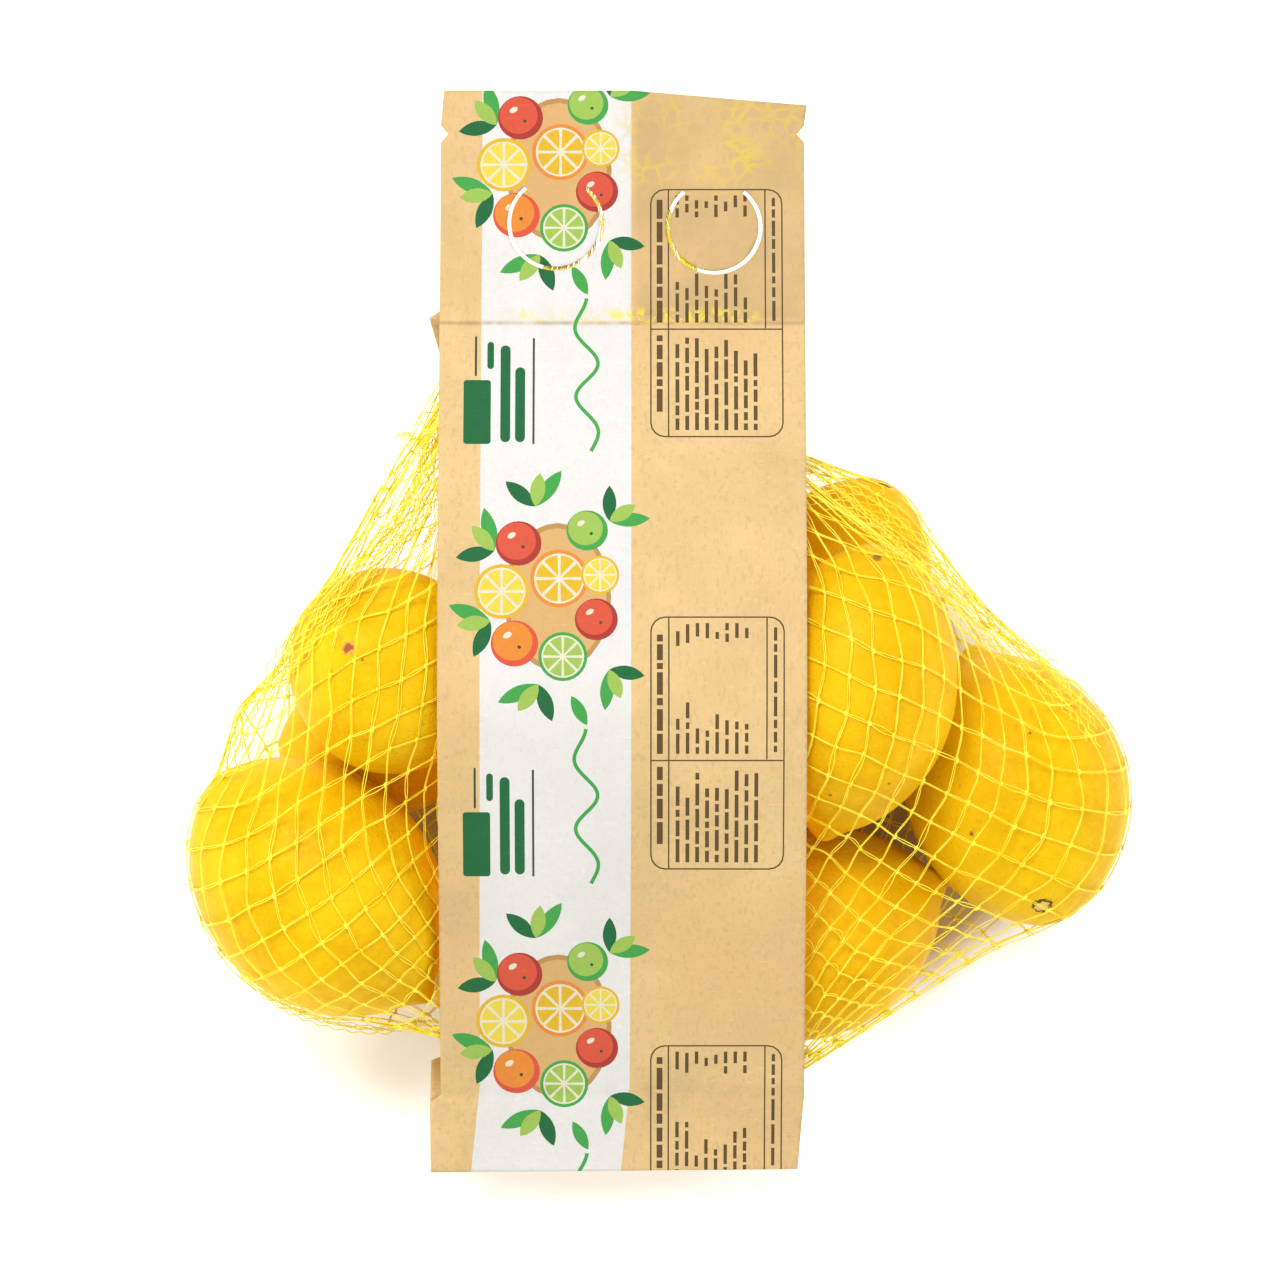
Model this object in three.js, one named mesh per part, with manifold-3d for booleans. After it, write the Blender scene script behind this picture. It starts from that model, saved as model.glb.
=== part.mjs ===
// Net of nine lemons with a paper carrying band round it, lying flat with the shown face up.
// Units are millimetres, +Z is up and +Y runs along the band towards its carrying flap.
// The origin is on the floor, at the centre of the pack's footprint.
// A front and a back paper band run the full length. They are welded to each other, with the
// net between them, at a top weld and a bottom weld, and part again round the lemons.

import * as THREE from 'three';
import { ConvexGeometry } from 'three/addons/geometries/ConvexGeometry.js';
import { mergeVertices } from 'three/addons/utils/BufferGeometryUtils.js';
import Module from 'manifold-3d';

const wasm = await Module();
wasm.setup();

const DEG = Math.PI / 180;
const FITTING_GAP = 0.3; // between pieces that touch

// ---------------------------------------------------------------- driving dimensions

const PAPER = 0.6; // thickness of one band
const NET_SHEET = 0.8; // the net pressed flat between the two bands

// Plan of the band. The two ends are cut square, the top one slightly askew.
const BAND_TOP = 148.6;
const BAND_BOTTOM = -148.4;
const BAND_LEFT = -60.3;
const BAND_RIGHT = 39.2;
const TOP_CUT_BEND_X = -8; // the top edge is straight up to here, then slopes
const TOP_RIGHT_Y = 144.5;
const FOOT_LEFT = -63.3; // the bottom flap stands a little to the left
const FOOT_RIGHT = 37.5;
const NOTCH_Y = 136.5; // small tear notch in each side of the carrying flap
const NOTCH_DEPTH = 2;
const NOTCH_HALF = 2.4;

// Side view of the band: it climbs from the bottom weld over the pile and down to the top weld.
const TOP_WELD_Y = 85.6;
const BOTTOM_WELD_Y = -126.7;
const CREST_Y = -12;
const CREST_Z = 97.2;
const CREST_ROUNDING = 25;
const TOP_WELD_Z = 60;
const BOTTOM_WELD_Z = 41;
const TOP_FLAP_END_SLOPE = 0.2;
const BOTTOM_FLAP_END_SLOPE = 0.3;

// The back band lies on the floor under the lemons and rises to both welds.
const FLOOR_TOP_Y = 27;
const FLOOR_BOTTOM_Y = -102;
const FLOOR_BEND = 6; // half the length of each rounded bend

// Where it parts from the front band at each weld, the back band shows as an ear on the left.
const BACK_EAR = 2.9;
const EAR_LENGTH = 10;

// Two finger cuts in the carrying flap, each an open ring that leaves its disc hanging.
const FINGER_RADIUS = 12.7;
const FINGER_CUT = 1.1;
const FINGER_OPENING = 80 * DEG;
const FINGER_HOLES = [
  { x: -28.8, y: 111.9 },
  { x: 14.5, y: 110.8 },
];

// Each lemon is a spindle: a round waist, a half length to its tips, and the direction of its
// stem end, turned in plan from +X and raised above the floor.
const LEMONS = {
  left: { at: [-93.4, -69.4, 52], waist: 31.8, half: 40.4, turn: 134, rise: 10 },
  leftUpper: { at: [-73.5, -10.5, 69.5], waist: 27.6, half: 31, turn: 150, rise: 60 },
  leftUnder: { at: [-75.7, -28.2, 22.8], waist: 22.4, half: 29.3, turn: 193, rise: 1 },
  rightUpper: { at: [52, -15.4, 69], waist: 28.4, half: 39.8, turn: 79, rise: 15 },
  rightUnder: { at: [49.5, 14, 25], waist: 24.4, half: 29.5, turn: 66, rise: 12 },
  right: { at: [97.2, -42.9, 31.2], waist: 30.8, half: 37.8, turn: -73, rise: 8 },
  rightLow: { at: [41.5, -83.2, 28], waist: 27.7, half: 36.5, turn: 203, rise: 0 },
  middle: { at: [-4, -3, 45.5], waist: 28.5, half: 35, turn: 114, rise: -15 },
  middleLow: { at: [-30.5, -80, 28.4], waist: 26.5, half: 34, turn: 34, rise: 4 },
};
const LEMON_TAPER = 0.1; // how much slimmer than an ellipse a lemon is near its ends
const TIP_RADIUS = 4; // the knob at the far end of a lemon
const TIP_LENGTH = 3;
const NET_THICKNESS = 0.8; // adds to every lemon that it is stretched over

// Where the net is gathered flat into each weld, and its mouth between the top weld and the
// pile, where it holds the two bands apart. Each is a rectangle seen along the band.
const TOP_GATHER = { left: -46, right: 24, y: TOP_WELD_Y - 1.5, low: TOP_WELD_Z - 2, high: TOP_WELD_Z };
const TOP_MOUTH = { left: -59, right: 16, y: 57, low: 32, high: 72 };
const BOTTOM_GATHER = {
  left: -38, right: 28, y: BOTTOM_WELD_Y + 2, low: BOTTOM_WELD_Z - 2, high: BOTTOM_WELD_Z,
};
const NET_TONGUE = { left: -46, right: 24, end: 140 };

// Folds of slack net that stand out beyond the lemons.
const FOLDS = {
  leftSide: { at: [-111, -24, 30], radius: 5 },
  leftFoot: { at: [-91, -98.4, 20], radius: 8.5 },
  leftToe: { at: [-75, -101.8, 13], radius: 8.5 },
  rightFoot: { at: [106, -76.5, 14], radius: 5.5 },
};

// Faces round and along a lemon. Its spans of net need fewer.
const LEMON_SIDES = 20;
const LEMON_RINGS = 12;
const SPAN_SIDES = 14;
const SPAN_RINGS = 8;
// Between lemons the net is narrower and lower than they are, so that each stands out of it.
const SPAN_WIDTH = 0.85;
const SPAN_HEIGHT = 0.55;

const PROFILE_STEPS = 84;
const SLOT_STEPS = 28;

// ---------------------------------------------------------------- solids

function toManifold(geometry) {
  const bare = geometry.clone();
  bare.deleteAttribute('normal');
  bare.deleteAttribute('uv');
  const merged = mergeVertices(bare, 1e-4);
  return new wasm.Manifold(new wasm.Mesh({
    numProp: 3,
    vertProperties: Float32Array.from(merged.attributes.position.array),
    triVerts: Uint32Array.from(merged.index.array),
  }));
}

function toGeometry(solid) {
  const mesh = solid.getMesh();
  const geometry = new THREE.BufferGeometry();
  geometry.setAttribute('position', new THREE.BufferAttribute(mesh.vertProperties, 3));
  geometry.setIndex(new THREE.BufferAttribute(mesh.triVerts, 1));
  geometry.computeVertexNormals();
  return geometry;
}

function joined(solids) {
  return solids.reduce((whole, solid) => whole.add(solid));
}

function boxSolid(min, max) {
  const size = max.map((value, axis) => value - min[axis]);
  const box = new THREE.BoxGeometry(...size);
  box.translate(...min.map((value, axis) => value + size[axis] / 2));
  return toManifold(box);
}

// A plan outline made into an upright prism that covers every height of the pack.
function uprightPrism(shape) {
  const prism = new THREE.ExtrudeGeometry(shape, { depth: 2 * CREST_Z, bevelEnabled: false });
  prism.translate(0, 0, -CREST_Z / 2);
  return toManifold(prism);
}

// ---------------------------------------------------------------- side views of the bands

// A curve with a flat crest that turns into a straight slope.
function crestDrop(distance) {
  return Math.hypot(distance, CREST_ROUNDING) - CREST_ROUNDING;
}

function slopeFor(distance, drop) {
  return drop / crestDrop(distance);
}

const TOP_SLOPE = slopeFor(TOP_WELD_Y - CREST_Y, CREST_Z - TOP_WELD_Z);
const BOTTOM_SLOPE = slopeFor(CREST_Y - BOTTOM_WELD_Y, CREST_Z - BOTTOM_WELD_Z);

function slopeAtWeld(distance, slope) {
  return slope * distance / Math.hypot(distance, CREST_ROUNDING);
}

// Past a weld the flap carries on at the same slope and levels off towards its end.
function flapDrop(out, length, startSlope, endSlope) {
  return startSlope * out - (startSlope - endSlope) * out * out / (2 * length);
}

function frontTopZ(y) {
  if (y > TOP_WELD_Y) {
    const start = slopeAtWeld(TOP_WELD_Y - CREST_Y, TOP_SLOPE);
    return TOP_WELD_Z - flapDrop(y - TOP_WELD_Y, BAND_TOP - TOP_WELD_Y, start, TOP_FLAP_END_SLOPE);
  }
  if (y < BOTTOM_WELD_Y) {
    const start = slopeAtWeld(CREST_Y - BOTTOM_WELD_Y, BOTTOM_SLOPE);
    const length = BOTTOM_WELD_Y - BAND_BOTTOM;
    return BOTTOM_WELD_Z - flapDrop(BOTTOM_WELD_Y - y, length, start, BOTTOM_FLAP_END_SLOPE);
  }
  return CREST_Z - (y > CREST_Y ? TOP_SLOPE : BOTTOM_SLOPE) * crestDrop(y - CREST_Y);
}

function frontUnderZ(y) {
  return frontTopZ(y) - PAPER;
}

// Flat up to a bend, then a straight ramp.
function ramp(distance, slope) {
  if (distance < -FLOOR_BEND) return 0;
  if (distance > FLOOR_BEND) return slope * distance;
  return slope * (distance + FLOOR_BEND) ** 2 / (4 * FLOOR_BEND);
}

const BETWEEN_BANDS = NET_SHEET + 2 * FITTING_GAP;

function backTopZ(y) {
  const topRise = (TOP_WELD_Z - 2 * PAPER - BETWEEN_BANDS) / (TOP_WELD_Y - FLOOR_TOP_Y);
  const bottomRise = (BOTTOM_WELD_Z - 2 * PAPER - BETWEEN_BANDS) / (FLOOR_BOTTOM_Y - BOTTOM_WELD_Y);
  const lying = PAPER + ramp(y - FLOOR_TOP_Y, topRise) + ramp(FLOOR_BOTTOM_Y - y, bottomRise);
  return Math.min(lying, frontUnderZ(y) - BETWEEN_BANDS);
}

function backUnderZ(y) {
  return backTopZ(y) - PAPER;
}

// A solid between two side-view curves, the same all the way across the band.
function sweptAcross(topZ, underZ, left, right) {
  const outline = [];
  for (let step = 0; step <= PROFILE_STEPS; step += 1) {
    const y = BAND_BOTTOM - 1 + (BAND_TOP - BAND_BOTTOM + 2) * step / PROFILE_STEPS;
    outline.push(new THREE.Vector2(y, topZ(y)));
  }
  const under = outline.map(({ x: y }) => new THREE.Vector2(y, underZ(y))).reverse();
  const shape = new THREE.Shape([...outline, ...under]);
  const slab = new THREE.ExtrudeGeometry(shape, { depth: right - left, bevelEnabled: false });
  // The shape's own x, y and depth become the part's y, z and x.
  const axes = new THREE.Matrix4().makeBasis(
    new THREE.Vector3(0, 1, 0), new THREE.Vector3(0, 0, 1), new THREE.Vector3(1, 0, 0));
  slab.applyMatrix4(axes);
  slab.translate(left, 0, 0);
  return toManifold(slab);
}

// ---------------------------------------------------------------- plan outlines of the bands

function notchPoints(edgeX, inward) {
  return [
    new THREE.Vector2(edgeX, NOTCH_Y - NOTCH_HALF),
    new THREE.Vector2(edgeX + inward * NOTCH_DEPTH, NOTCH_Y),
    new THREE.Vector2(edgeX, NOTCH_Y + NOTCH_HALF),
  ];
}

// Anticlockwise from the foot of the left edge. An ear stands out on the left beside each weld.
function bandOutline(ear) {
  return new THREE.Shape([
    new THREE.Vector2(FOOT_LEFT, BAND_BOTTOM),
    new THREE.Vector2(FOOT_RIGHT, BAND_BOTTOM + 1),
    new THREE.Vector2(BAND_RIGHT, BOTTOM_WELD_Y),
    new THREE.Vector2(BAND_RIGHT, TOP_WELD_Y),
    ...notchPoints(BAND_RIGHT, -1),
    new THREE.Vector2(BAND_RIGHT + 0.8, TOP_RIGHT_Y),
    new THREE.Vector2(TOP_CUT_BEND_X, BAND_TOP),
    new THREE.Vector2(BAND_LEFT + 0.8, BAND_TOP),
    ...notchPoints(BAND_LEFT, 1).reverse(),
    new THREE.Vector2(BAND_LEFT, TOP_WELD_Y + 2),
    new THREE.Vector2(BAND_LEFT - ear, TOP_WELD_Y),
    new THREE.Vector2(BAND_LEFT, TOP_WELD_Y - EAR_LENGTH),
    new THREE.Vector2(BAND_LEFT, BOTTOM_WELD_Y + EAR_LENGTH),
    new THREE.Vector2(BAND_LEFT - ear, BOTTOM_WELD_Y + EAR_LENGTH - 1),
    new THREE.Vector2(BAND_LEFT - ear, BOTTOM_WELD_Y),
    new THREE.Vector2(FOOT_LEFT, BOTTOM_WELD_Y - 2),
  ]);
}

// The open ring of one finger cut, with its gap at the top.
function fingerCut({ x, y }) {
  const start = Math.PI / 2 + FINGER_OPENING / 2;
  const sweep = 2 * Math.PI - FINGER_OPENING;
  const along = (radius, step) => {
    const angle = start + sweep * step / SLOT_STEPS;
    return new THREE.Vector2(x + radius * Math.cos(angle), y + radius * Math.sin(angle));
  };
  const steps = [...Array(SLOT_STEPS + 1).keys()];
  const outer = steps.map((step) => along(FINGER_RADIUS + FINGER_CUT / 2, step));
  const inner = steps.map((step) => along(FINGER_RADIUS - FINGER_CUT / 2, step));
  return uprightPrism(new THREE.Shape([...outer, ...inner.reverse()]));
}

function bandSolid(topZ, underZ, ear) {
  const margin = 5;
  const sheet = sweptAcross(topZ, underZ, FOOT_LEFT - margin, BAND_RIGHT + margin);
  const trimmed = sheet.intersect(uprightPrism(bandOutline(ear)));
  return FINGER_HOLES.map(fingerCut).reduce((band, cut) => band.subtract(cut), trimmed);
}

// ---------------------------------------------------------------- lemons and net

// Radius of a lemon at a place along its length, from -1 at the stem to 1 at the tip.
function lemonRadius(lemon, along) {
  const ellipse = Math.sqrt(Math.max(0, 1 - along * along));
  return (lemon.waist + NET_THICKNESS) * ellipse * (1 - LEMON_TAPER * along * along);
}

function lemonFrame(lemon) {
  const turn = lemon.turn * DEG;
  const rise = lemon.rise * DEG;
  const stem = new THREE.Vector3(
    Math.cos(turn) * Math.cos(rise), Math.sin(turn) * Math.cos(rise), Math.sin(rise));
  const toTip = stem.negate();
  const spin = new THREE.Quaternion().setFromUnitVectors(new THREE.Vector3(0, 1, 0), toTip);
  return new THREE.Matrix4().compose(
    new THREE.Vector3(...lemon.at), spin, new THREE.Vector3(1, 1, 1));
}

// A closed spindle turned about its length, with a knob at the tip.
function lemonSolid(lemon) {
  const profile = [];
  for (let ring = 0; ring <= LEMON_RINGS; ring += 1) {
    const along = -Math.cos(Math.PI * ring / LEMON_RINGS);
    profile.push(new THREE.Vector2(lemonRadius(lemon, along), along * lemon.half));
  }
  profile[LEMON_RINGS].set(0, lemon.half + TIP_LENGTH);
  profile.splice(LEMON_RINGS, 0, new THREE.Vector2(TIP_RADIUS, lemon.half + TIP_LENGTH / 2));
  const spindle = new THREE.LatheGeometry(profile, LEMON_SIDES);
  spindle.applyMatrix4(lemonFrame(lemon));
  return toManifold(spindle);
}

// The points that a span of net is stretched over, one set for each lemon that carries it.
function lemonPoints(lemon) {
  const frame = lemonFrame(lemon);
  const points = [];
  for (let ring = 0; ring <= SPAN_RINGS; ring += 1) {
    const along = -Math.cos(Math.PI * ring / SPAN_RINGS);
    const radius = lemonRadius(lemon, along);
    for (let side = 0; side < SPAN_SIDES; side += 1) {
      const angle = 2 * Math.PI * side / SPAN_SIDES;
      points.push(new THREE.Vector3(
        radius * Math.cos(angle), along * lemon.half, radius * Math.sin(angle)));
    }
  }
  const lower = new THREE.Matrix4().makeScale(SPAN_WIDTH, SPAN_WIDTH, SPAN_HEIGHT);
  const centre = new THREE.Vector3(...lemon.at);
  return points.map((point) => point.applyMatrix4(frame).sub(centre).applyMatrix4(lower).add(centre));
}

function rectanglePoints({ left, right, y, low, high }) {
  return [
    new THREE.Vector3(left, y, low),
    new THREE.Vector3(right, y, low),
    new THREE.Vector3(left, y, high),
    new THREE.Vector3(right, y, high),
  ];
}

function ballPoints({ at, radius }) {
  const ball = new THREE.IcosahedronGeometry(radius, 1);
  ball.translate(...at);
  const places = ball.attributes.position;
  return [...Array(places.count).keys()].map(
    (index) => new THREE.Vector3().fromBufferAttribute(places, index));
}

// Net stretched tight over whatever it is given.
function netSpan(...pointSets) {
  return toManifold(new ConvexGeometry(pointSets.flat()));
}

function netSpans() {
  const over = Object.fromEntries(
    Object.entries(LEMONS).map(([name, lemon]) => [name, lemonPoints(lemon)]));
  const topGather = rectanglePoints(TOP_GATHER);
  const topMouth = rectanglePoints(TOP_MOUTH);
  const bottomGather = rectanglePoints(BOTTOM_GATHER);
  return [
    netSpan(topGather, topMouth),
    netSpan(topMouth, over.leftUpper, over.middle),
    netSpan(topMouth, over.middle, over.rightUnder),
    netSpan(topMouth, over.middle, over.rightUpper),
    netSpan(over.rightUnder, over.rightUpper),
    netSpan(over.leftUpper, over.left, ballPoints(FOLDS.leftSide)),
    netSpan(over.leftUpper, over.leftUnder, over.middle),
    netSpan(over.leftUpper, over.leftUnder, over.left),
    netSpan(over.left, over.leftUnder, over.middleLow),
    netSpan(over.left, over.middleLow, ballPoints(FOLDS.leftFoot), ballPoints(FOLDS.leftToe)),
    netSpan(bottomGather, over.middleLow),
    netSpan(bottomGather, over.middleLow, over.rightLow),
    netSpan(over.leftUnder, over.middle, over.middleLow),
    netSpan(over.middle, over.rightUpper),
    netSpan(over.rightUpper, over.rightUnder, over.right),
    netSpan(over.rightUnder, over.right, over.rightLow),
    netSpan(over.right, over.rightLow, ballPoints(FOLDS.rightFoot)),
    netSpan(over.middleLow, over.rightUpper, over.middle),
    netSpan(over.middleLow, over.rightLow),
  ];
}

function netTongue() {
  return boxSolid(
    [NET_TONGUE.left, TOP_GATHER.y - 3, 0], [NET_TONGUE.right, NET_TONGUE.end, CREST_Z]);
}

function netBagSolid() {
  const bag = joined([...Object.values(LEMONS).map(lemonSolid), ...netSpans(), netTongue()]);
  const reach = 2 * CREST_Z;
  const side = 2 * FITTING_GAP;
  const left = FOOT_LEFT - side;
  const right = BAND_RIGHT + side;
  const aboveFront = sweptAcross(
    () => reach, (y) => frontUnderZ(y) - FITTING_GAP, BAND_LEFT - side, right);
  const belowBack = sweptAcross((y) => backTopZ(y) + FITTING_GAP, () => -reach, left, right);
  const belowFloor = boxSolid([-reach, -reach, -reach], [reach, reach, 0]);
  return bag.subtract(aboveFront).subtract(belowBack).subtract(belowFloor);
}

// ---------------------------------------------------------------- the part

const NET_YELLOW = { color: 0xf6cf1a, roughness: 0.5, metalness: 0 };
const KRAFT = { color: 0xe6c596, roughness: 0.85, metalness: 0 };
const KRAFT_BACK = { color: 0xdcb988, roughness: 0.85, metalness: 0 };

function namedMesh(name, solid, look) {
  const mesh = new THREE.Mesh(toGeometry(solid), new THREE.MeshStandardMaterial(look));
  mesh.name = name;
  return mesh;
}

const pack = new THREE.Group();
pack.add(namedMesh('net_bag', netBagSolid(), NET_YELLOW));
pack.add(namedMesh('band_front', bandSolid(frontTopZ, frontUnderZ, 0), KRAFT));
pack.add(namedMesh('band_back', bandSolid(backTopZ, backUnderZ, BACK_EAR), KRAFT_BACK));

export default pack;
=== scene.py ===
"""Net of nine lemons with a front and a back paper band, lying flat on a pale floor.

Shapes are worked out in millimetres, as the solids are, and turned into metres when a mesh is made.
Lights, the floor and the places in materials are in metres.
"""
import math

import bpy
import numpy as np
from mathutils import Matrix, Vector
from mathutils.geometry import delaunay_2d_cdt


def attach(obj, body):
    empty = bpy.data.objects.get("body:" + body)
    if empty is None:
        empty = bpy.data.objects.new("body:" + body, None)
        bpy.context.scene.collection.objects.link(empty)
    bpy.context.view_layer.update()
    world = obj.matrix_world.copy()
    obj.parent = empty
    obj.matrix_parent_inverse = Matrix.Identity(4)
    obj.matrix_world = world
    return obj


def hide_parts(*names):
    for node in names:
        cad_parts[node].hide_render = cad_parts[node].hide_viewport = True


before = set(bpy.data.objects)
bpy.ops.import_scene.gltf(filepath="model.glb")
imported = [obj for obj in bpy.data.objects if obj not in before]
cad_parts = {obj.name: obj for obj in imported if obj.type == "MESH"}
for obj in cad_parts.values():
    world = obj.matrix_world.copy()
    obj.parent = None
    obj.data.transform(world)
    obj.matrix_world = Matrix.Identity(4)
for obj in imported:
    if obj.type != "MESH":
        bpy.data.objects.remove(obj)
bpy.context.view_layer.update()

MM = 0.001

# Plan of the paper bands.
BAND_TOP = 148.6
BAND_BOTTOM = -148.4
BAND_LEFT = -60.3
BAND_RIGHT = 39.2
TOP_CUT_BEND_X = -8
TOP_RIGHT_Y = 144.5
TOP_FLARE = 0.8
FOOT_LEFT = -63.3
FOOT_RIGHT = 37.5
NOTCH_Y = 136.5
NOTCH_DEPTH = 2
NOTCH_HALF = 2.4
BACK_EAR = 2.9
EAR_LENGTH = 10
FINGER_RADIUS = 12.7
FINGER_CUT = 1.1
FINGER_OPENING = math.radians(80)
FINGER_STEPS = 36
FINGER_HOLES = ((-28.8, 111.9), (14.5, 110.8))

# Side view of the bands.
SOLID_PAPER = 0.6
PAPER = 0.25
TOP_WELD_Y = 85.6
BOTTOM_WELD_Y = -126.7
CREST_Y = -12
CREST_Z = 97.2
CREST_ROUNDING = 25
TOP_WELD_Z = 60
BOTTOM_WELD_Z = 41
TOP_FLAP_END_SLOPE = 0.2
BOTTOM_FLAP_END_SLOPE = 0.3
FLOOR_TOP_Y = 27
FLOOR_BOTTOM_Y = -102
FLOOR_BEND = 6
BETWEEN_BANDS = 1.4
OVER_LEMONS = 1.9
LEMON_BLEND = 1.2

# Dents in the front band: depth, centre and reach.
DENTS = ((0.9, (13, 27), (15, 20)), (-0.8, (16, -100), (5, 4)),
         (0.6, (22, 6), (10, 18)), (-0.6, (2, -60), (9, 14)))

# Where the net is gathered into the welds, and how far it runs up between the bands.
TOP_GATHER = (-46, 24)
BOTTOM_GATHER = (-38, 28)
TONGUE_END = 140

# Each lemon: centre, waist radius, half length, and the direction of its stem end in degrees.
# Then its own colour, from 0 for pale to 1 for deep yellow, and the radius of a stem scar.
# Marks are blemishes on its shown side: a kind, a place and a radius.
LEMONS = {
    "left": dict(at=(-93.4, -69.4, 52), waist=31.8, half=40.4, turn=134, rise=10, deep=0.35),
    "left_upper": dict(at=(-73.5, -10.5, 69.5), waist=27.6, half=31, turn=150, rise=60, deep=0.4,
                       marks=(("scar", (-84.2, -4.2, 98.7), 2.0), ("spot", (-80.3, -7.4, 99.2), 0.5))),
    "left_under": dict(at=(-75.7, -28.2, 22.8), waist=22.4, half=29.3, turn=193, rise=1, deep=0.6),
    "right_upper": dict(at=(52, -15.4, 69), waist=28.4, half=39.8, turn=79, rise=15, deep=0.7,
                        marks=(("spot", (58.2, 20.3, 85.3), 1.5), ("spot", (45.6, -44, 82.9), 0.5),
                               ("spot", (61.5, -41, 83.9), 0.45))),
    "right_under": dict(at=(49.5, 14, 25), waist=24.4, half=29.5, turn=66, rise=12, deep=0.8, scar=2.2,
                        marks=(("spot", (59.5, 41.2, 33.5), 1.0),)),
    "right": dict(at=(97.2, -42.9, 31.2), waist=30.8, half=37.8, turn=-73, rise=8, deep=0.3, scar=3.0,
                  marks=(("ring", (104.2, -75.0, 47.4), 2.5), ("spot", (84.7, -54.7, 57.2), 0.7),
                         ("spot", (100.5, -27.3, 57.8), 0.45))),
    "right_low": dict(at=(41.5, -83.2, 28), waist=27.7, half=36.5, turn=203, rise=0, deep=0.7, scar=2.4),
    "middle": dict(at=(-4, -3, 45.5), waist=28.5, half=35, turn=114, rise=-15, deep=0.5, scar=2.4),
    "middle_low": dict(at=(-30.5, -80, 28.4), waist=26.5, half=34, turn=34, rise=4, deep=0.5, scar=2.4),
}
LEMON_TAPER = 0.1
LEMON_RINGS = 72
LEMON_SIDES = 96
LEMON_FLOOR_GAP = 0.7
TIP_RADIUS = 5.2
TIP_INSET = 1.5
# Knob at a lemon's tip, shoulder and dimple at its stem: the end, how far they shift it, their radius.
LEMON_ENDS = ((-1, -3.8, 4.6), (1, 1.6, 6.5), (1, -1.9, 2.6))
RING_CROWDING = 0.34
WAVE_SIZE = 0.011
RIB_SIZE = 0.02
RIB_REACH = 0.16
RIBS = 9
FLAT_GAP = 0.1
FLAT_REACH = 6
# A probe drops on each lemon from above in steps, and misses if it ends below the lemon's middle.
PROBE_START = 99.0
PROBE_STEPS = 12
PROBE_LONGEST = 40
PROBE_STRIDE = 0.9
PROBE_DEPTH = 5

# The net: its cells and threads, and how it is drawn tight.
NET_COLUMNS = 96
NET_ROWS = 32
COLUMN_SHARES = (np.arange(NET_COLUMNS) + 0.5) / NET_COLUMNS
CELL_STEPS = 4
CELL_SHARES = (np.arange(CELL_STEPS) + 0.5) / CELL_STEPS
NET_PULLS = 700
PULL_SPEED = 0.22
KEPT_SPEED = 0.9
REST_ALONG = 7.4
REST_ACROSS = 4.6
SPREAD_ALONG = (0.9, 1.1)
SPREAD_ACROSS = (0.85, 1.15)
ACROSS_STIFFNESS = 0.45
DRAWN_BELOW = 8.5
DRAWN_LENGTH = 0.8
SIDE_DROP = 0.8
TOP_TONGUE = 52
BOTTOM_TONGUE = 16
IN_WELD_DEPTH = 1.3
IN_WELD_HALF = 0.25
START_HALF_WIDTH = 150
START_MIDDLE_Z = 48
START_HALF_HEIGHT = 56
NET_CLEARANCE = 0.95
STRAND_CLEARANCE = 0.6
BAND_CLEARANCE = 0.3
SIDESTEP = 0.075
SIDESTEP_WIDTH = 9
CELL_WIDTH = 6.3
ARCS_FROM_ROW = 17
SLACK_TAKEN_UP = 0.8
SAG_SHARE = 0.8
DEEPEST_SAG = 0.45
# The radius of a filament. A strand's two filaments lie on both sides of its path: how far off it at
# a knot, in radii, the gamma shape and scale of what chance adds between knots, its limit, and how
# far one is lifted and the other lowered at a knot.
FILAMENT = 0.14
PAIR_AT_KNOT = 0.78
PARTING_SPREAD = (1.3, 0.12)
WIDEST_PARTING = 0.6
CROSSING_LIFT = 0.1
FILAMENT_SIDES = 4
KNOT_HALF_LENGTHS = (0.6, 1.1)
KNOT_RADII = (0.3, 0.42)
KNOT_SIDES = 6
KNOT_RINGS = ((-1, 0.35), (-0.45, 1.0), (0.45, 1.0), (1, 0.35))

# Where the net leaves the band, as a place on its edge and the way out: its throat and its heel.
THROAT = (16, 57)
THROAT_SIDE = (28.6, -8.0)
THROAT_SHOULDER = (15.0, 44.0)
HEEL = (-62, -108.6)
HEEL_SIDE = (-0.594, -0.805)
LOWEST_NET_Y = -110
# Slack net that stands out past the lemons: places in plan, radii and heights that it passes round.
NET_FOLDS = (((-108, -24), 8, 58), ((-79, -100), 9.5, 26), ((-66, -100), 9, 24),
             ((104, -75), 8, 32), ((92, 10), 5, 30))
# Gathered net: a path in plan, the heights of its ends, its strands, half its width at both ends.
NET_GATHERS = (
    (((36, 43), (50, 36), (64, 25), (78, 11), (92, -1), (104, -10), (114, -21), (122, -35)),
     (68, 30), 12, (5.3, 3.6)),
    (((-57, 62), (-62, 47), (-68, 33), (-79, 20), (-91, 5), (-102, -9), (-111, -22), (-117, -36)),
     (56, 44), 13, (4.4, 4.2)),
    (((-61, 58), (-64, 44), (-66, 34), (-69, 24), (-72, 14)), (60, 88), 9, (1.5, 8.0)),
    (((-114, -92), (-104, -101), (-92, -106.5), (-77, -109), (-62, -107.5), (-46, -117)),
     (40, 30), 6, (1.8, 1.0)),
    (((-56, 46), (-64, 51), (-69, 54), (-74, 53.5)), (56, 50), 5, (1.1, 0.4)),
)
GATHER_SAMPLES = 160
GATHER_CELL = 4.4
GATHER_BENDS = np.arange(12) / 12
GATHER_REACH = (0.72, 1)
TAUT_ROUNDS = 400

# The print on the front band.
PAPER_GRID = 1.7
PRINT_PERIOD = 117
HEADING_START = 51
PANEL_START = 52.8
STRIPE = [(-48.9, 150), (-48.9, -30), (-49.6, -124), (-52.4, -150),
          (-11.2, -150), (-8.6, -124), (-8.1, -30), (-8.1, 150)]
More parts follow.
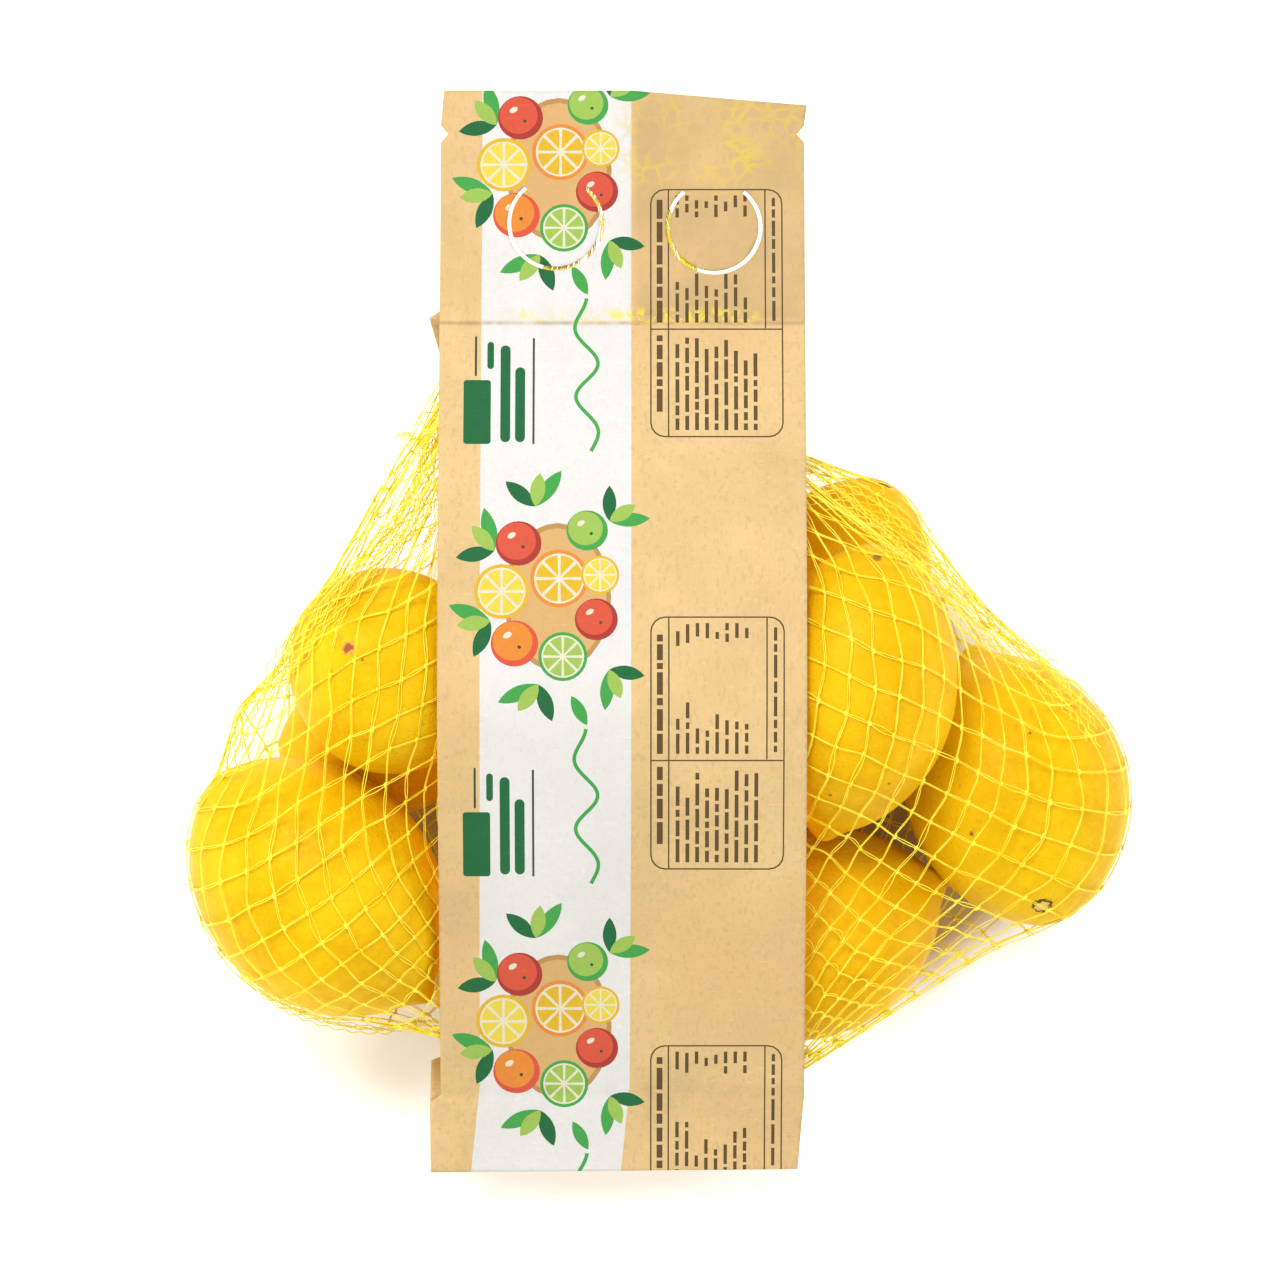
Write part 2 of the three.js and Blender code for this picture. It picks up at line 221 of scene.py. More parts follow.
# Each garland's sprigs, as place, turn and size, and its fruit, as place, radius and two inks.
SPRIGS = ((-45, 22, 150, 12), (-46, 3, 205, 12), (-33, -14, 250, 12),
          (-14, -10, 310, 11), (-14, 30, 50, 11), (-34, 34, 100, 12))
WHOLE_FRUIT = ((-38.5, 24, 6.2, "red", "dark_red"), (-39.5, -3, 6.4, "orange", "red"),
               (-17.5, 3.5, 5.8, "red", "dark_red"), (-20, 27.5, 5.6, "light_leaf", "leaf"))
CUT_FRUIT = ((-43, 11, 7.4, "deep_yellow", "yellow"), (-27.5, 14.5, 7.8, "orange", "deep_yellow"),
             (-26.5, -6.5, 6.6, "leaf", "light_leaf"), (-16.5, 15.5, 5.2, "deep_yellow", "yellow"))
# Blocks and lines of the heading and of the panel: ink, left, right, low, high and corner radius.
HEADING_BOXES = (
    ("dark_leaf", -53.6, -46.2, 0, 17.5, 0.8), ("dark", -50.6, -50.0, 18.6, 29.5, 0),
    ("dark", -34.9, -34.3, 0, 29, 0), ("dark_leaf", -43.6, -40.9, 0.5, 27, 1.3),
    ("dark_leaf", -39.6, -36.9, 0.5, 21, 1.3), ("dark_leaf", -47.2, -45.4, 20.5, 28, 0.9),
)
PANEL_BOXES = (
    ("ink", -3, 33.2, 0, 68.5, 4), ("kraft", -2.6, 32.8, 0.4, 68.1, 3.7), ("ink", 1.8, 2.2, 0.4, 68.1, 0),
    ("ink", -2.6, 32.8, 29.5, 29.9, 0), ("ink", 28.2, 28.6, 30, 68.1, 0),
)
PANEL_ROWS = 9
PANEL_ROW_STEP = 2.65
DASH_LENGTHS = (1.6, 6.5)
SHORTEST_DASH = 1.5
DASH_GAPS = (0.7, 1.1)

# Colours.
PALE_RIND = (0.81, 0.535, 0.001)
DEEP_RIND = (0.78, 0.44, 0.001)
RIND_SPECK = (0.62, 0.34, 0.03)
SCAR_DARK = (0.20, 0.10, 0.05)
SCAR_LIGHT = (0.46, 0.29, 0.15)
# Layers of each kind of mark: the radius of a line, half its width and its soft edge, as shares of
# the mark's radius, and its colour.
MARK_LAYERS = {
    "ring": ((0, 0.5, 0.3, (0.74, 0.56, 0.26)), (1, 0.1, 0.14, (0.10, 0.055, 0.02))),
    "scar": ((0, 0.8, 0.5, (0.72, 0.36, 0.05)), (0, 0.5, 0.35, (0.38, 0.10, 0.035))),
    "spot": ((0, 0.6, 0.6, (0.34, 0.15, 0.03)),),
}
NET_DEEP = (0.93, 0.74, 0.02)
NET_LIGHT = (1.0, 0.90, 0.08)
# Darker wash over the flap: partly net under the paper, partly painted shade.
FLAP_WASH_AND_SHADE = (0.50, 0.34, 0.16)
# Painted shadow line along the flap's crease.
CREASE_SHADOW = (0.36, 0.24, 0.12)
FLAP_NET = (0.66, 0.50, 0.06)
WELD_NET = (0.82, 0.65, 0.02)
KRAFT = (0.68, 0.475, 0.225)
KRAFT_INNER = (0.62, 0.43, 0.22)
INKS = {
    "white": (0.69, 0.67, 0.65),
    "pale": (0.68, 0.64, 0.50),
    "ink": (0.11, 0.07, 0.03),
    "dark": (0.05, 0.075, 0.05),
    "dark_leaf": (0.02, 0.13, 0.045),
    "leaf": (0.06, 0.32, 0.07),
    "light_leaf": (0.30, 0.46, 0.09),
    "yellow": (0.70, 0.56, 0.07),
    "deep_yellow": (0.66, 0.40, 0.03),
    "orange": (0.68, 0.23, 0.04),
    "red": (0.60, 0.09, 0.05),
    "dark_red": (0.36, 0.045, 0.035),
    "tan": (0.44, 0.25, 0.09),
    "wood": (0.60, 0.37, 0.15),
}
# Painted shade: the floor's colour under the pack.
FLOOR_SHADED = (0.52, 0.36, 0.16)
FLOOR_OPEN = (0.93, 0.915, 0.88)
FLOOR_LIGHT = (1, 0.995, 0.985, 1)
WHITE = (1, 1, 1)
THROUGH_PAPER = (1, 0.5, 0.1)

# Along the band in metres: where the flap's darker wash (partly painted shade) starts, the painted shadow
# line of its crease, and the stains on its weld.
FLAP_START = (0.0835, 0.0865)
CREASE_Y = 0.0842
STAINED_WELD_Y = 0.0862

# Camera, floor and light. An ellipse on the floor is a centre and a reach.
CAMERA_HEIGHT = 3.0
CAMERA_AIM = (-0.00575, -0.00205)
FRAMED_HEIGHT = 0.04
VIEW_WIDTH = 0.3507
SENSOR = 36
FLOOR_SIZE = 8
FLOOR_Z = -0.0002
FLOOR_GLOW = 0.6
GLOW_INSIDE = ((0, -0.042, 0), (0.135, 0.08, 1))
# Painted shade: inside this ellipse, under the pack, the floor takes the shaded colour.
OPEN_FLOOR = ((0.006, -0.05, 0), (0.1, 0.06, 1))
# Painted shadows on the floor: where its glow is cut down past the pack's lower left edge and at the foot
# of the band.
FLOOR_SHADES = (((-0.064, -0.117, 0), (0.028, 0.018, 1)), ((-0.02, -0.15, 0), (0.05, 0.007, 1)))
WORLD_LIGHT = 0.67
PILE_MIDDLE = (0, 0, 0.04)
# Area lights: name, place, place aimed at, side, power and colour. The last two stand for the warm
# light that thin paper lets through, from under both slopes of the front band.
AREA_LIGHTS = (
    ("key_light", (-0.5, 1.1, 2.2), PILE_MIDDLE, 1.0, 38, WHITE),
    ("fill_light", (0.9, -0.8, 1.8), PILE_MIDDLE, 0.8, 6, WHITE),
    ("left_light", (-1.3, -0.25, 0.35), PILE_MIDDLE, 0.6, 5, (1, 0.98, 0.5)),
    ("right_light", (1.3, -0.1, 0.4), PILE_MIDDLE, 0.6, 2, WHITE),
    ("upper_paper_light", (-0.0105, 0.035, 0.078), (-0.0105, 0.015, 0.028), 0.094, 0.012, THROUGH_PAPER),
    ("lower_paper_light", (-0.0105, -0.07, 0.07), (-0.0105, -0.042, 0.02), 0.094, 0.023, THROUGH_PAPER),
)


# Shader nodes. An output knows its node tree, so that what is made from it goes into the same one.

def add_node(kind, inputs, **settings):
    """Outputs of a new node. Its first input is another node's output, the others may be values."""
    tree = next(iter(inputs.values())).id_data
    node = tree.nodes.new("ShaderNode" + kind)
    for name, value in settings.items():
        setattr(node, name, value)
    for key, value in inputs.items():
        if isinstance(value, bpy.types.NodeSocket):
            tree.links.new(value, node.inputs[key])
        else:
            node.inputs[key].default_value = value
    return node.outputs


def connect(output, shader, name):
    output.id_data.links.new(output, shader.inputs[name])


def new_material(name, colour, roughness, specular=0.5):
    """A material, its shader and the place on the object that its nodes work from."""
    material = bpy.data.materials.new(name)
    material.use_nodes = True
    nodes = material.node_tree.nodes
    shader = nodes["Principled BSDF"]
    shader.inputs["Base Color"].default_value = (*colour, 1)
    shader.inputs["Roughness"].default_value = roughness
    shader.inputs["Specular IOR Level"].default_value = specular
    return material, shader, nodes.new("ShaderNodeTexCoord").outputs["Object"]


def noise(place, scale, detail=2.0, roughness=0.5, stretch=None):
    if stretch:
        place = add_node("Mapping", {"Vector": place, "Scale": stretch})["Vector"]
    inputs = {"Vector": place, "Scale": scale, "Detail": detail, "Roughness": roughness}
    return add_node("TexNoise", inputs)["Fac"]


def ramped(value, low, high, bottom=0.0, top=1.0):
    """From bottom to top as the value goes from low to high."""
    inputs = {"Value": value, "From Min": low, "From Max": high, "To Min": bottom, "To Max": top}
    return add_node("MapRange", inputs)["Result"]


def calculated(operation, *values):
    return add_node("Math", dict(enumerate(values)), operation=operation)[0]


def product(*values):
    result = values[0]
    for value in values[1:]:
        result = calculated("MULTIPLY", result, value)
    return result


def near_line(value, centre, half, soft):
    """1 within half of a value, fading to 0 over soft."""
    offset = calculated("ABSOLUTE", calculated("SUBTRACT", value, centre))
    return ramped(offset, half, half + soft, 1.0, 0.0)


def mixed(share, first, second):
    """A colour between two, each a colour or another node's output."""
    first, second = ((*c, 1) if isinstance(c, tuple) else c for c in (first, second))
    return add_node("Mix", {"Factor": share, 6: first, 7: second}, data_type="RGBA")[2]


def stirred(place, scale, reach):
    """The place, shifted about by a noise so that what is drawn with it looks uneven."""
    shift = add_node("TexNoise", {"Vector": place, "Scale": scale})["Color"]
    inputs = {0: shift, 1: (reach, reach, 0), 2: place}
    return add_node("VectorMath", inputs, operation="MULTIPLY_ADD")["Vector"]


def bumped(shader, height, strength, depth):
    inputs = {"Height": height, "Strength": strength, "Distance": depth}
    connect(add_node("Bump", inputs)["Normal"], shader, "Normal")


# Camera, floor and lights.

def add_camera():
    data = bpy.data.cameras.new("photo_camera")
    data.sensor_fit = "HORIZONTAL"
    data.sensor_width = SENSOR
    data.lens = SENSOR * (CAMERA_HEIGHT - FRAMED_HEIGHT) / VIEW_WIDTH
    camera = bpy.data.objects.new("photo_camera", data)
    camera.location = (*CAMERA_AIM, CAMERA_HEIGHT)
    bpy.context.scene.collection.objects.link(camera)
    bpy.context.scene.camera = camera


def ellipse_distance(place, centre, reach):
    """0 at the centre of an ellipse, 1 on its edge and more outside it."""
    inputs = {"Vector": place, "Location": centre, "Scale": reach}
    offset = add_node("Mapping", inputs, vector_type="TEXTURE")["Vector"]
    return add_node("VectorMath", {0: offset}, operation="LENGTH")["Value"]


def shade_floor(shader, place):
    """An over-lit backdrop: the floor glows from a little outside the pack, has painted shadows where its
    glow is cut down, and a painted shade of dim brown under the pack.
    """
    glow = ramped(ellipse_distance(place, *GLOW_INSIDE), 0.78, 1.03, 0.0, FLOOR_GLOW)
    # Painted shadows: the glow is cut down inside each of these ellipses.
    for shade in FLOOR_SHADES:
        glow = product(glow, ramped(ellipse_distance(place, *shade), 0.5, 2, 0.3))
    connect(glow, shader, "Emission Strength")
    # Painted shade under the pack: the colour fades from the shaded brown to the open white.
    open_floor = ramped(ellipse_distance(place, *OPEN_FLOOR), 0.93, 1.1)
    connect(mixed(open_floor, FLOOR_SHADED, FLOOR_OPEN), shader, "Base Color")


def add_floor():
    bpy.ops.mesh.primitive_plane_add(size=FLOOR_SIZE, location=(0, 0, FLOOR_Z))
    floor = bpy.context.object
    floor.name = "floor"
    material, shader, place = new_material("floor_white_with_painted_shade", FLOOR_OPEN, 0.9)
    shader.inputs["Emission Color"].default_value = FLOOR_LIGHT
    shade_floor(shader, place)
    floor.data.materials.append(material)


def add_area_light(name, place, aim, size, power, colour):
    data = bpy.data.lights.new(name, "AREA")
    data.shape = "SQUARE"
    data.size = size
    data.energy = power
    data.color = colour
    light = bpy.data.objects.new(name, data)
    light.location = place
    direction = Vector(aim) - Vector(place)
    light.rotation_euler = direction.to_track_quat("-Z", "Y").to_euler()
    light.visible_camera = False
    bpy.context.scene.collection.objects.link(light)


def add_lights():
    world = bpy.data.worlds.new("studio")
    world.use_nodes = True
    background = world.node_tree.nodes["Background"]
    background.inputs["Color"].default_value = (*WHITE, 1)
    background.inputs["Strength"].default_value = WORLD_LIGHT
    bpy.context.scene.world = world
    for light in AREA_LIGHTS:
        add_area_light(*light)


# Meshes.

def add_piece(name, points, faces, materials, face_materials=None, node="net_bag"):
    mesh = bpy.data.meshes.new(name)
    mesh.from_pydata((np.asarray(points) * MM).tolist(), [], faces)
    for material in materials:
        mesh.materials.append(material)
    if face_materials is not None:
        mesh.polygons.foreach_set("material_index", np.asarray(face_materials, dtype=np.int32))
    mesh.polygons.foreach_set("use_smooth", np.full(len(mesh.polygons), True))
    mesh.validate()
    mesh.update()
    piece = bpy.data.objects.new(name, mesh)
    bpy.context.scene.collection.objects.link(piece)
    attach(piece, "root")
    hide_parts(node)


def unit(vectors):
    length = np.linalg.norm(vectors, axis=-1, keepdims=True)
    return vectors / np.maximum(length, 1e-9)


def ring_faces(rings, sides, closed_rings=False):
    """Quads between neighbouring rings of points."""
    around = np.arange(sides)
    beside = (around + 1) % sides
    last = rings if closed_rings else rings - 1
    here = np.arange(last)[:, None] * sides
    there = ((np.arange(last) + 1) % rings)[:, None] * sides
    quads = np.stack([here + around, here + beside, there + beside, there + around], axis=-1)
    return quads.reshape(-1, 4)


def round_section(side, rise, sides):
    """Directions from the middle of a thread to the corners of its section."""
    angles = 2 * math.pi * np.arange(sides) / sides
    return np.cos(angles)[:, None] * side[..., None, :] + np.sin(angles)[:, None] * rise[..., None, :]


def left_of(path):
    """The way to the left, all along a path in plan."""
    heading = unit(np.gradient(path, axis=0))
    return np.stack([-heading[:, 1], heading[:, 0]], axis=-1)


def copied_faces(faces, copies, points):
    """The faces of many meshes like one, when their points follow each other, this many in each."""
    starts = np.arange(copies)[:, None, None] * points
    return (faces + starts).reshape(-1, faces.shape[-1])


# Lemons.

def stem_direction(lemon):
    turn = math.radians(lemon["turn"])
    rise = math.radians(lemon["rise"])
    flat = math.cos(rise)
    return np.array([math.cos(turn) * flat, math.sin(turn) * flat, math.sin(rise)])


def lemon_distance(points, lemon):
    """About how far outside a lemon the points are, and the way out."""
    stem = stem_direction(lemon)
    offset = points - np.array(lemon["at"])
    length = offset @ stem
    along = length / lemon["half"]
    across = offset - length[..., None] * stem
    radius = np.linalg.norm(across, axis=-1)
    limit = lemon["waist"] * (1 - LEMON_TAPER * np.clip(along * along, 0, 1))
    level = np.sqrt(along * along + (radius / limit) ** 2) + 1e-6
    gradient = (along / lemon["half"])[..., None] * stem + across / (limit * limit)[..., None]
    gradient = gradient / level[..., None]
    slope = np.linalg.norm(gradient, axis=-1) + 1e-9
    return (level - 1) / slope, gradient / slope[..., None]


def tip_distance(points, lemon):
    """The same for the knob at a lemon's tip, as a ball."""
    centre = np.array(lemon["at"]) - stem_direction(lemon) * (lemon["half"] - TIP_INSET)
    offset = points - centre
    return np.linalg.norm(offset, axis=-1) - TIP_RADIUS, unit(offset)


def lemon_profile(lemon):
    """Distance along the length and radius, ring by ring from the tip to the stem."""
    step = np.linspace(0, 1, LEMON_RINGS)
    angle = math.pi * step - RING_CROWDING * np.sin(2 * math.pi * step)
    along = -np.cos(angle)
    radius = lemon["waist"] * np.sin(angle) * (1 - LEMON_TAPER * along * along)
    length = along * lemon["half"]
    for end, out, reach in LEMON_ENDS:
        length += out * np.exp(-(radius / reach) ** 2) * (along * end > 0)
    return length, radius


def uneven(angle, along, rng):
    """Low waves over a lemon's rind, as a share of its radius."""
    waves = np.zeros(np.broadcast(angle, along).shape)
    for turns in (1, 2, 2, 3, 4, 5):
        size = rng.normal(0, WAVE_SIZE) / math.sqrt(turns)
        waves += size * np.cos(turns * angle + rng.uniform(0, 6.28) + rng.uniform(-2, 2) * along)
    ribs = RIB_SIZE * np.exp(-((1 - np.abs(along)) / RIB_REACH) ** 2)
    waves += ribs * np.cos(RIBS * angle + rng.uniform(0, 6.28) + 1.5 * np.sin(2 * angle))
    return waves


def pressed_flat(points, lemon):
    """Moves the points that are inside another lemon back to a flat contact between the two."""
    own = np.array(lemon["at"])
    for other in LEMONS.values():
        gap, _ = lemon_distance(points, other)
        deepest = gap.min()
        if other is lemon or deepest > 0:
            continue
        heading = unit(np.array(other["at"]) - own)
        reach = (points[gap < 0] - own) @ heading
        border = reach.max() + deepest / 2 - FLAT_GAP
        over = (points - own) @ heading - border
        near = (gap < FLAT_REACH) & (over > 0)
        points[near] -= over[near, None] * heading
    return points


def scar_faces(lemon, length, radius, angle):
    """1 for each face in the stem scar, which has a wavy edge, and 0 for the others."""
    middle = (radius[:-1] + np.diff(radius) / 2)[:, None]
    edge = lemon.get("scar", 0) * (1 + 0.16 * (np.cos(5 * angle + 1) + 0.6 * np.cos(3 * angle)))
    return ((middle < edge) & (length[:-1, None] > 0)).astype(int).reshape(-1)


def add_lemon(name, lemon, materials, rng):
    length, radius = lemon_profile(lemon)
    angle = np.linspace(0, 2 * math.pi, LEMON_SIDES, endpoint=False)
    along = (length / lemon["half"])[:, None]
    wide = radius[:, None] * (1 + uneven(angle[None, :], np.clip(along, -1, 1), rng))
    stem = stem_direction(lemon)
    side = unit(np.cross(stem, (0.31, 0.2, 0.93)))
    upward = np.cross(stem, side)
    points = (
        np.array(lemon["at"])
        + length[:, None, None] * stem
        + (wide * np.cos(angle))[..., None] * side
        + (wide * np.sin(angle))[..., None] * upward
    ).reshape(-1, 3)
    points = pressed_flat(points, lemon)
    points[:, 2] = np.maximum(points[:, 2], LEMON_FLOOR_GAP)
    faces = ring_faces(LEMON_RINGS, LEMON_SIDES).tolist()
    scar = scar_faces(lemon, length, radius, angle)
    add_piece("lemon_" + name, points, faces, materials, scar)


def with_marks(place, base, lemon):
    """A lemon's own blemishes: brown spots, a pinkish scar or a dark ring left by the stem."""
    rough = ramped(noise(place, 900, 2), 0.3, 0.7, -0.25, 0.25)
    for kind, centre, radius in lemon.get("marks", ()):
        radius *= MM
        inputs = {0: place, 1: tuple(c * MM for c in centre)}
        away = add_node("VectorMath", inputs, operation="DISTANCE")["Value"]
        away = calculated("MULTIPLY_ADD", rough, radius, away)
        for line, half, soft, colour in MARK_LAYERS[kind]:
            share = near_line(away, line * radius, half * radius, soft * radius)
            base = mixed(share, base, colour)
    return base


def rind_material(name, lemon):
    """Rind in clouds and mottles of yellow, with fine specks, the lemon's own marks and pores."""
    deep = lemon["deep"]
    red, green, blue = (a * (1 - deep) + b * deep for a, b in zip(PALE_RIND, DEEP_RIND))
    material, shader, place = new_material(name, (red, green, blue), 0.42, 0.07)
    darker = (red * 0.93, green * 0.84, blue * 0.6)
    lighter = (min(1, red * 1.1), green * 1.12, blue + 0.003)
    lightest = (min(1, red * 1.12), green * 1.16, blue + 0.008)
    colour = mixed(ramped(noise(place, 45, 3), 0.35, 0.7), darker, lighter)
    mottle = ramped(noise(place, 330, 3, 0.6), 0.42, 0.72, 0, 0.45)
    colour = mixed(mottle, colour, lightest)
    specks = ramped(noise(place, 420, 1), 0.66, 0.74, 0, 0.4)
    colour = mixed(specks, colour, RIND_SPECK)
    connect(with_marks(place, colour, lemon), shader, "Base Color")
    pores = add_node("TexVoronoi", {"Vector": place, "Scale": 620, "Randomness": 0.9})["Distance"]
    bumped(shader, ramped(pores, 0.05, 0.42), 0.4, 0.00035)
    return material


def scar_material():
    material, shader, place = new_material("stem_scar", SCAR_DARK, 0.8)
    grain = ramped(noise(place, 1500, 3), 0.35, 0.65)
    connect(mixed(grain, SCAR_DARK, SCAR_LIGHT), shader, "Base Color")
    bumped(shader, grain, 0.6, 0.0004)
    return material


def add_lemons():
    rng = np.random.default_rng(20)
    scar = scar_material()
    for name, lemon in LEMONS.items():
        add_lemon(name, lemon, [rind_material("rind_" + name, lemon), scar], rng)


# Heights of the bands.

def crest_drop(distance):
    return np.hypot(distance, CREST_ROUNDING) - CREST_ROUNDING


TOP_SLOPE = (CREST_Z - TOP_WELD_Z) / crest_drop(TOP_WELD_Y - CREST_Y)
BOTTOM_SLOPE = (CREST_Z - BOTTOM_WELD_Z) / crest_drop(CREST_Y - BOTTOM_WELD_Y)


def slope_at_weld(distance, slope):
    return slope * distance / math.hypot(distance, CREST_ROUNDING)


def flap_drop(out, length, start_slope, end_slope):
    return start_slope * out - (start_slope - end_slope) * out * out / (2 * length)


def solid_front_z(y):
    """Height of the front band's solid along the pack."""
    top_start = slope_at_weld(TOP_WELD_Y - CREST_Y, TOP_SLOPE)
    bottom_start = slope_at_weld(CREST_Y - BOTTOM_WELD_Y, BOTTOM_SLOPE)
    top_flap = TOP_WELD_Z - flap_drop(
        y - TOP_WELD_Y, BAND_TOP - TOP_WELD_Y, top_start, TOP_FLAP_END_SLOPE)
    bottom_flap = BOTTOM_WELD_Z - flap_drop(
        BOTTOM_WELD_Y - y, BOTTOM_WELD_Y - BAND_BOTTOM, bottom_start, BOTTOM_FLAP_END_SLOPE)
    over = CREST_Z - np.where(y > CREST_Y, TOP_SLOPE, BOTTOM_SLOPE) * crest_drop(y - CREST_Y)
    return np.where(y > TOP_WELD_Y, top_flap, np.where(y < BOTTOM_WELD_Y, bottom_flap, over))


def ramp_up(distance, slope):
    """0 before the ramp, and rising on it past a rounded bend."""
    rounded = slope * (distance + FLOOR_BEND) ** 2 / (4 * FLOOR_BEND)
    return np.where(distance < -FLOOR_BEND, 0, np.where(distance > FLOOR_BEND, slope * distance, rounded))


def solid_back_z(y):
    """Height of the top of the back band's solid along the pack."""
    top_rise = (TOP_WELD_Z - 2 * SOLID_PAPER - BETWEEN_BANDS) / (TOP_WELD_Y - FLOOR_TOP_Y)
    bottom_rise = (BOTTOM_WELD_Z - 2 * SOLID_PAPER - BETWEEN_BANDS) / (FLOOR_BOTTOM_Y - BOTTOM_WELD_Y)
    lying = SOLID_PAPER + ramp_up(y - FLOOR_TOP_Y, top_rise) + ramp_up(FLOOR_BOTTOM_Y - y, bottom_rise)
    return np.minimum(lying, solid_front_z(y) - SOLID_PAPER - BETWEEN_BANDS)


def bump(x, y, at, size):
    return np.exp(-((x - at[0]) / size[0]) ** 2 - ((y - at[1]) / size[1]) ** 2)


def weld_share(y, reach):
    """1 at the two welds, fading out over the reach."""
    return np.exp(-((y - TOP_WELD_Y) / reach) ** 2), np.exp(-((y - BOTTOM_WELD_Y) / reach) ** 2)


def net_imprint(x, y):
    """Ridges where crushed net lies between the two layers of the carrying flap."""
    inside = 1 / (1 + np.exp(-(x - TOP_GATHER[0]) / 3)) / (1 + np.exp((x - TOP_GATHER[1]) / 3))
    end = 1 / (1 + np.exp((y - TONGUE_END) / 2))
    lines = np.sin(x / 1.6 + 2.4 * np.sin(y / 8)) + np.sin(x / 2.3 - 2.1 * np.sin(y / 6.3 + 1))
    return 0.14 * inside * end * (lines + 2)


def paper_relief(x, y):
    """Soft unevenness of the front band: slow waves, puckered welds, the net's ridges and dents."""
    slow = 0.5 * np.sin(x / 19 + 0.8) * np.sin(y / 31 + 1.1) + 0.3 * np.sin(x / 9 - y / 14)
    flap = 1 / (1 + np.exp(-(y - TOP_WELD_Y - 4) / 3))
    at_welds = sum(weld_share(y, 5))
    puckers = at_welds * (0.28 * np.sin(x / 1.9 + 1.2 * np.sin(x / 7)) + 0.12 * np.sin(x / 0.9))
    top_groove, bottom_groove = weld_share(y, 1.3)
    groove = -0.7 * top_groove - 0.5 * bottom_groove
    dents = sum(depth * bump(x, y, at, size) for depth, at, size in DENTS)
    calm = 1 - 0.7 * at_welds - 0.8 * flap * (1 - at_welds)
    return slow * calm + puckers + groove + flap * net_imprint(x, y) + dents


def lemon_top(x, y):
    """Height of the highest lemon at each place, and -1 where there is none."""
    top = np.full(np.shape(x), -1.0)
    probe = np.stack([x, y, np.full(np.shape(x), PROBE_START)], axis=-1)
    for lemon in LEMONS.values():
        near = np.hypot(x - lemon["at"][0], y - lemon["at"][1]) < lemon["half"]
        if not near.any():
            continue
        here = probe[near]
        for _ in range(PROBE_STEPS):
            gap, _ = lemon_distance(here, lemon)
            here[:, 2] -= np.clip(gap, 0, PROBE_LONGEST) * PROBE_STRIDE
        hit = np.where(here[:, 2] > lemon["at"][2] - PROBE_DEPTH, here[:, 2], -1)
        top[near] = np.maximum(top[near], hit)
    return top


def front_z(x, y):
    """Height of the front band's paper, which rests on the lemons where they reach it."""
    free = solid_front_z(y) + paper_relief(x, y)
    held = lemon_top(x, y) + OVER_LEMONS
    return np.logaddexp(free / LEMON_BLEND, held / LEMON_BLEND) * LEMON_BLEND


def back_z(x, y):
    """Height of the back band's paper, which waves a little where it is off the floor."""
    slow = 0.12 * np.sin(x / 17) * np.sin(y / 23 + 0.4)
    lift = np.clip(solid_back_z(y) - SOLID_PAPER, 0, 1)
    return solid_back_z(y) + slow * lift - 0.2 * (1 - lift)


# Print on the front band. Each shape is the name of its ink and an outline in plan.

def turned(x, y, turn, shape):
    """A shape about the origin, turned by some degrees and moved to its place."""
    cos, sin = math.cos(math.radians(turn)), math.sin(math.radians(turn))
    return [(x + a * cos - b * sin, y + a * sin + b * cos) for a, b in shape]


def arc(x, y, radius, angles):
    return [(x + radius * math.cos(a), y + radius * math.sin(a)) for a in angles]


def box_shape(left, right, low, high, corner=0.0):
    if corner <= 0:
        return [(left, low), (right, low), (right, high), (left, high)]
    points = []
    centres = ((right - corner, high - corner), (left + corner, high - corner),
               (left + corner, low + corner), (right - corner, low + corner))
    for quarter, (x, y) in enumerate(centres):
        points += arc(x, y, corner, [math.pi / 2 * (quarter + step / 4) for step in range(5)])
    return points


def oval_shape(x, y, across, along, turn=0.0, points=28):
    angles = [2 * math.pi * step / points for step in range(points)]
    return turned(x, y, turn, [(across * math.cos(a), along * math.sin(a)) for a in angles])


def leaf_shape(x, y, length, width, turn, steps=9):
    shape = []
    for side in (1, -1):
        for step in range(steps):
            share = step / steps if side == 1 else 1 - step / steps
            shape.append((length * share, side * width / 2 * math.sin(math.pi * share) ** 0.8))
    return turned(x, y, turn, shape)


def ribbon_shape(path, width):
    """A line of even width along a path of points."""
    aside = left_of(path) * width / 2
    return [tuple(p) for p in np.concatenate([path + aside, (path - aside)[::-1]])]


def boxes(table, base):
    return [(ink, box_shape(left, right, base + low, base + high, corner))
            for ink, left, right, low, high, corner in table]


def cut_fruit(x, y, radius, rind, flesh):
    """A round slice: rind, pale pith and eight segments."""
    shapes = [(rind, oval_shape(x, y, radius, radius)),
              ("pale", oval_shape(x, y, radius * 0.87, radius * 0.87))]
    for step in range(8):
        start = 45 * step + 4
        angles = np.radians(np.linspace(start, start + 37, 6))
        point = arc(x, y, radius * 0.1, [angles.mean()])
        shapes.append((flesh, point + arc(x, y, radius * 0.8, angles)))
    return shapes


def whole_fruit(x, y, radius, colour, shade):
    """A round fruit with a shaded rim, a highlight and a dot for its stem."""
    return [
        (shade, oval_shape(x, y, radius, radius * 0.97)),
        (colour, oval_shape(x - radius * 0.08, y + radius * 0.1, radius * 0.84, radius * 0.82)),
        ("pale", oval_shape(x - radius * 0.3, y + radius * 0.35, radius * 0.2, radius * 0.12, 30, 12)),
        ("dark", oval_shape(x + radius * 0.2, y - radius * 0.15, radius * 0.08, radius * 0.08, 0, 8)),
    ]


def sprig(x, y, turn, size):
    """Three leaves from one point, each a little shorter than the last."""
    leaves = ((-46, "leaf"), (40, "dark_leaf"), (-18, "light_leaf"))
    return [(colour, leaf_shape(x, y, size * (1 - 0.12 * step), size * 0.34, turn + swing))
            for step, (swing, colour) in enumerate(leaves)]


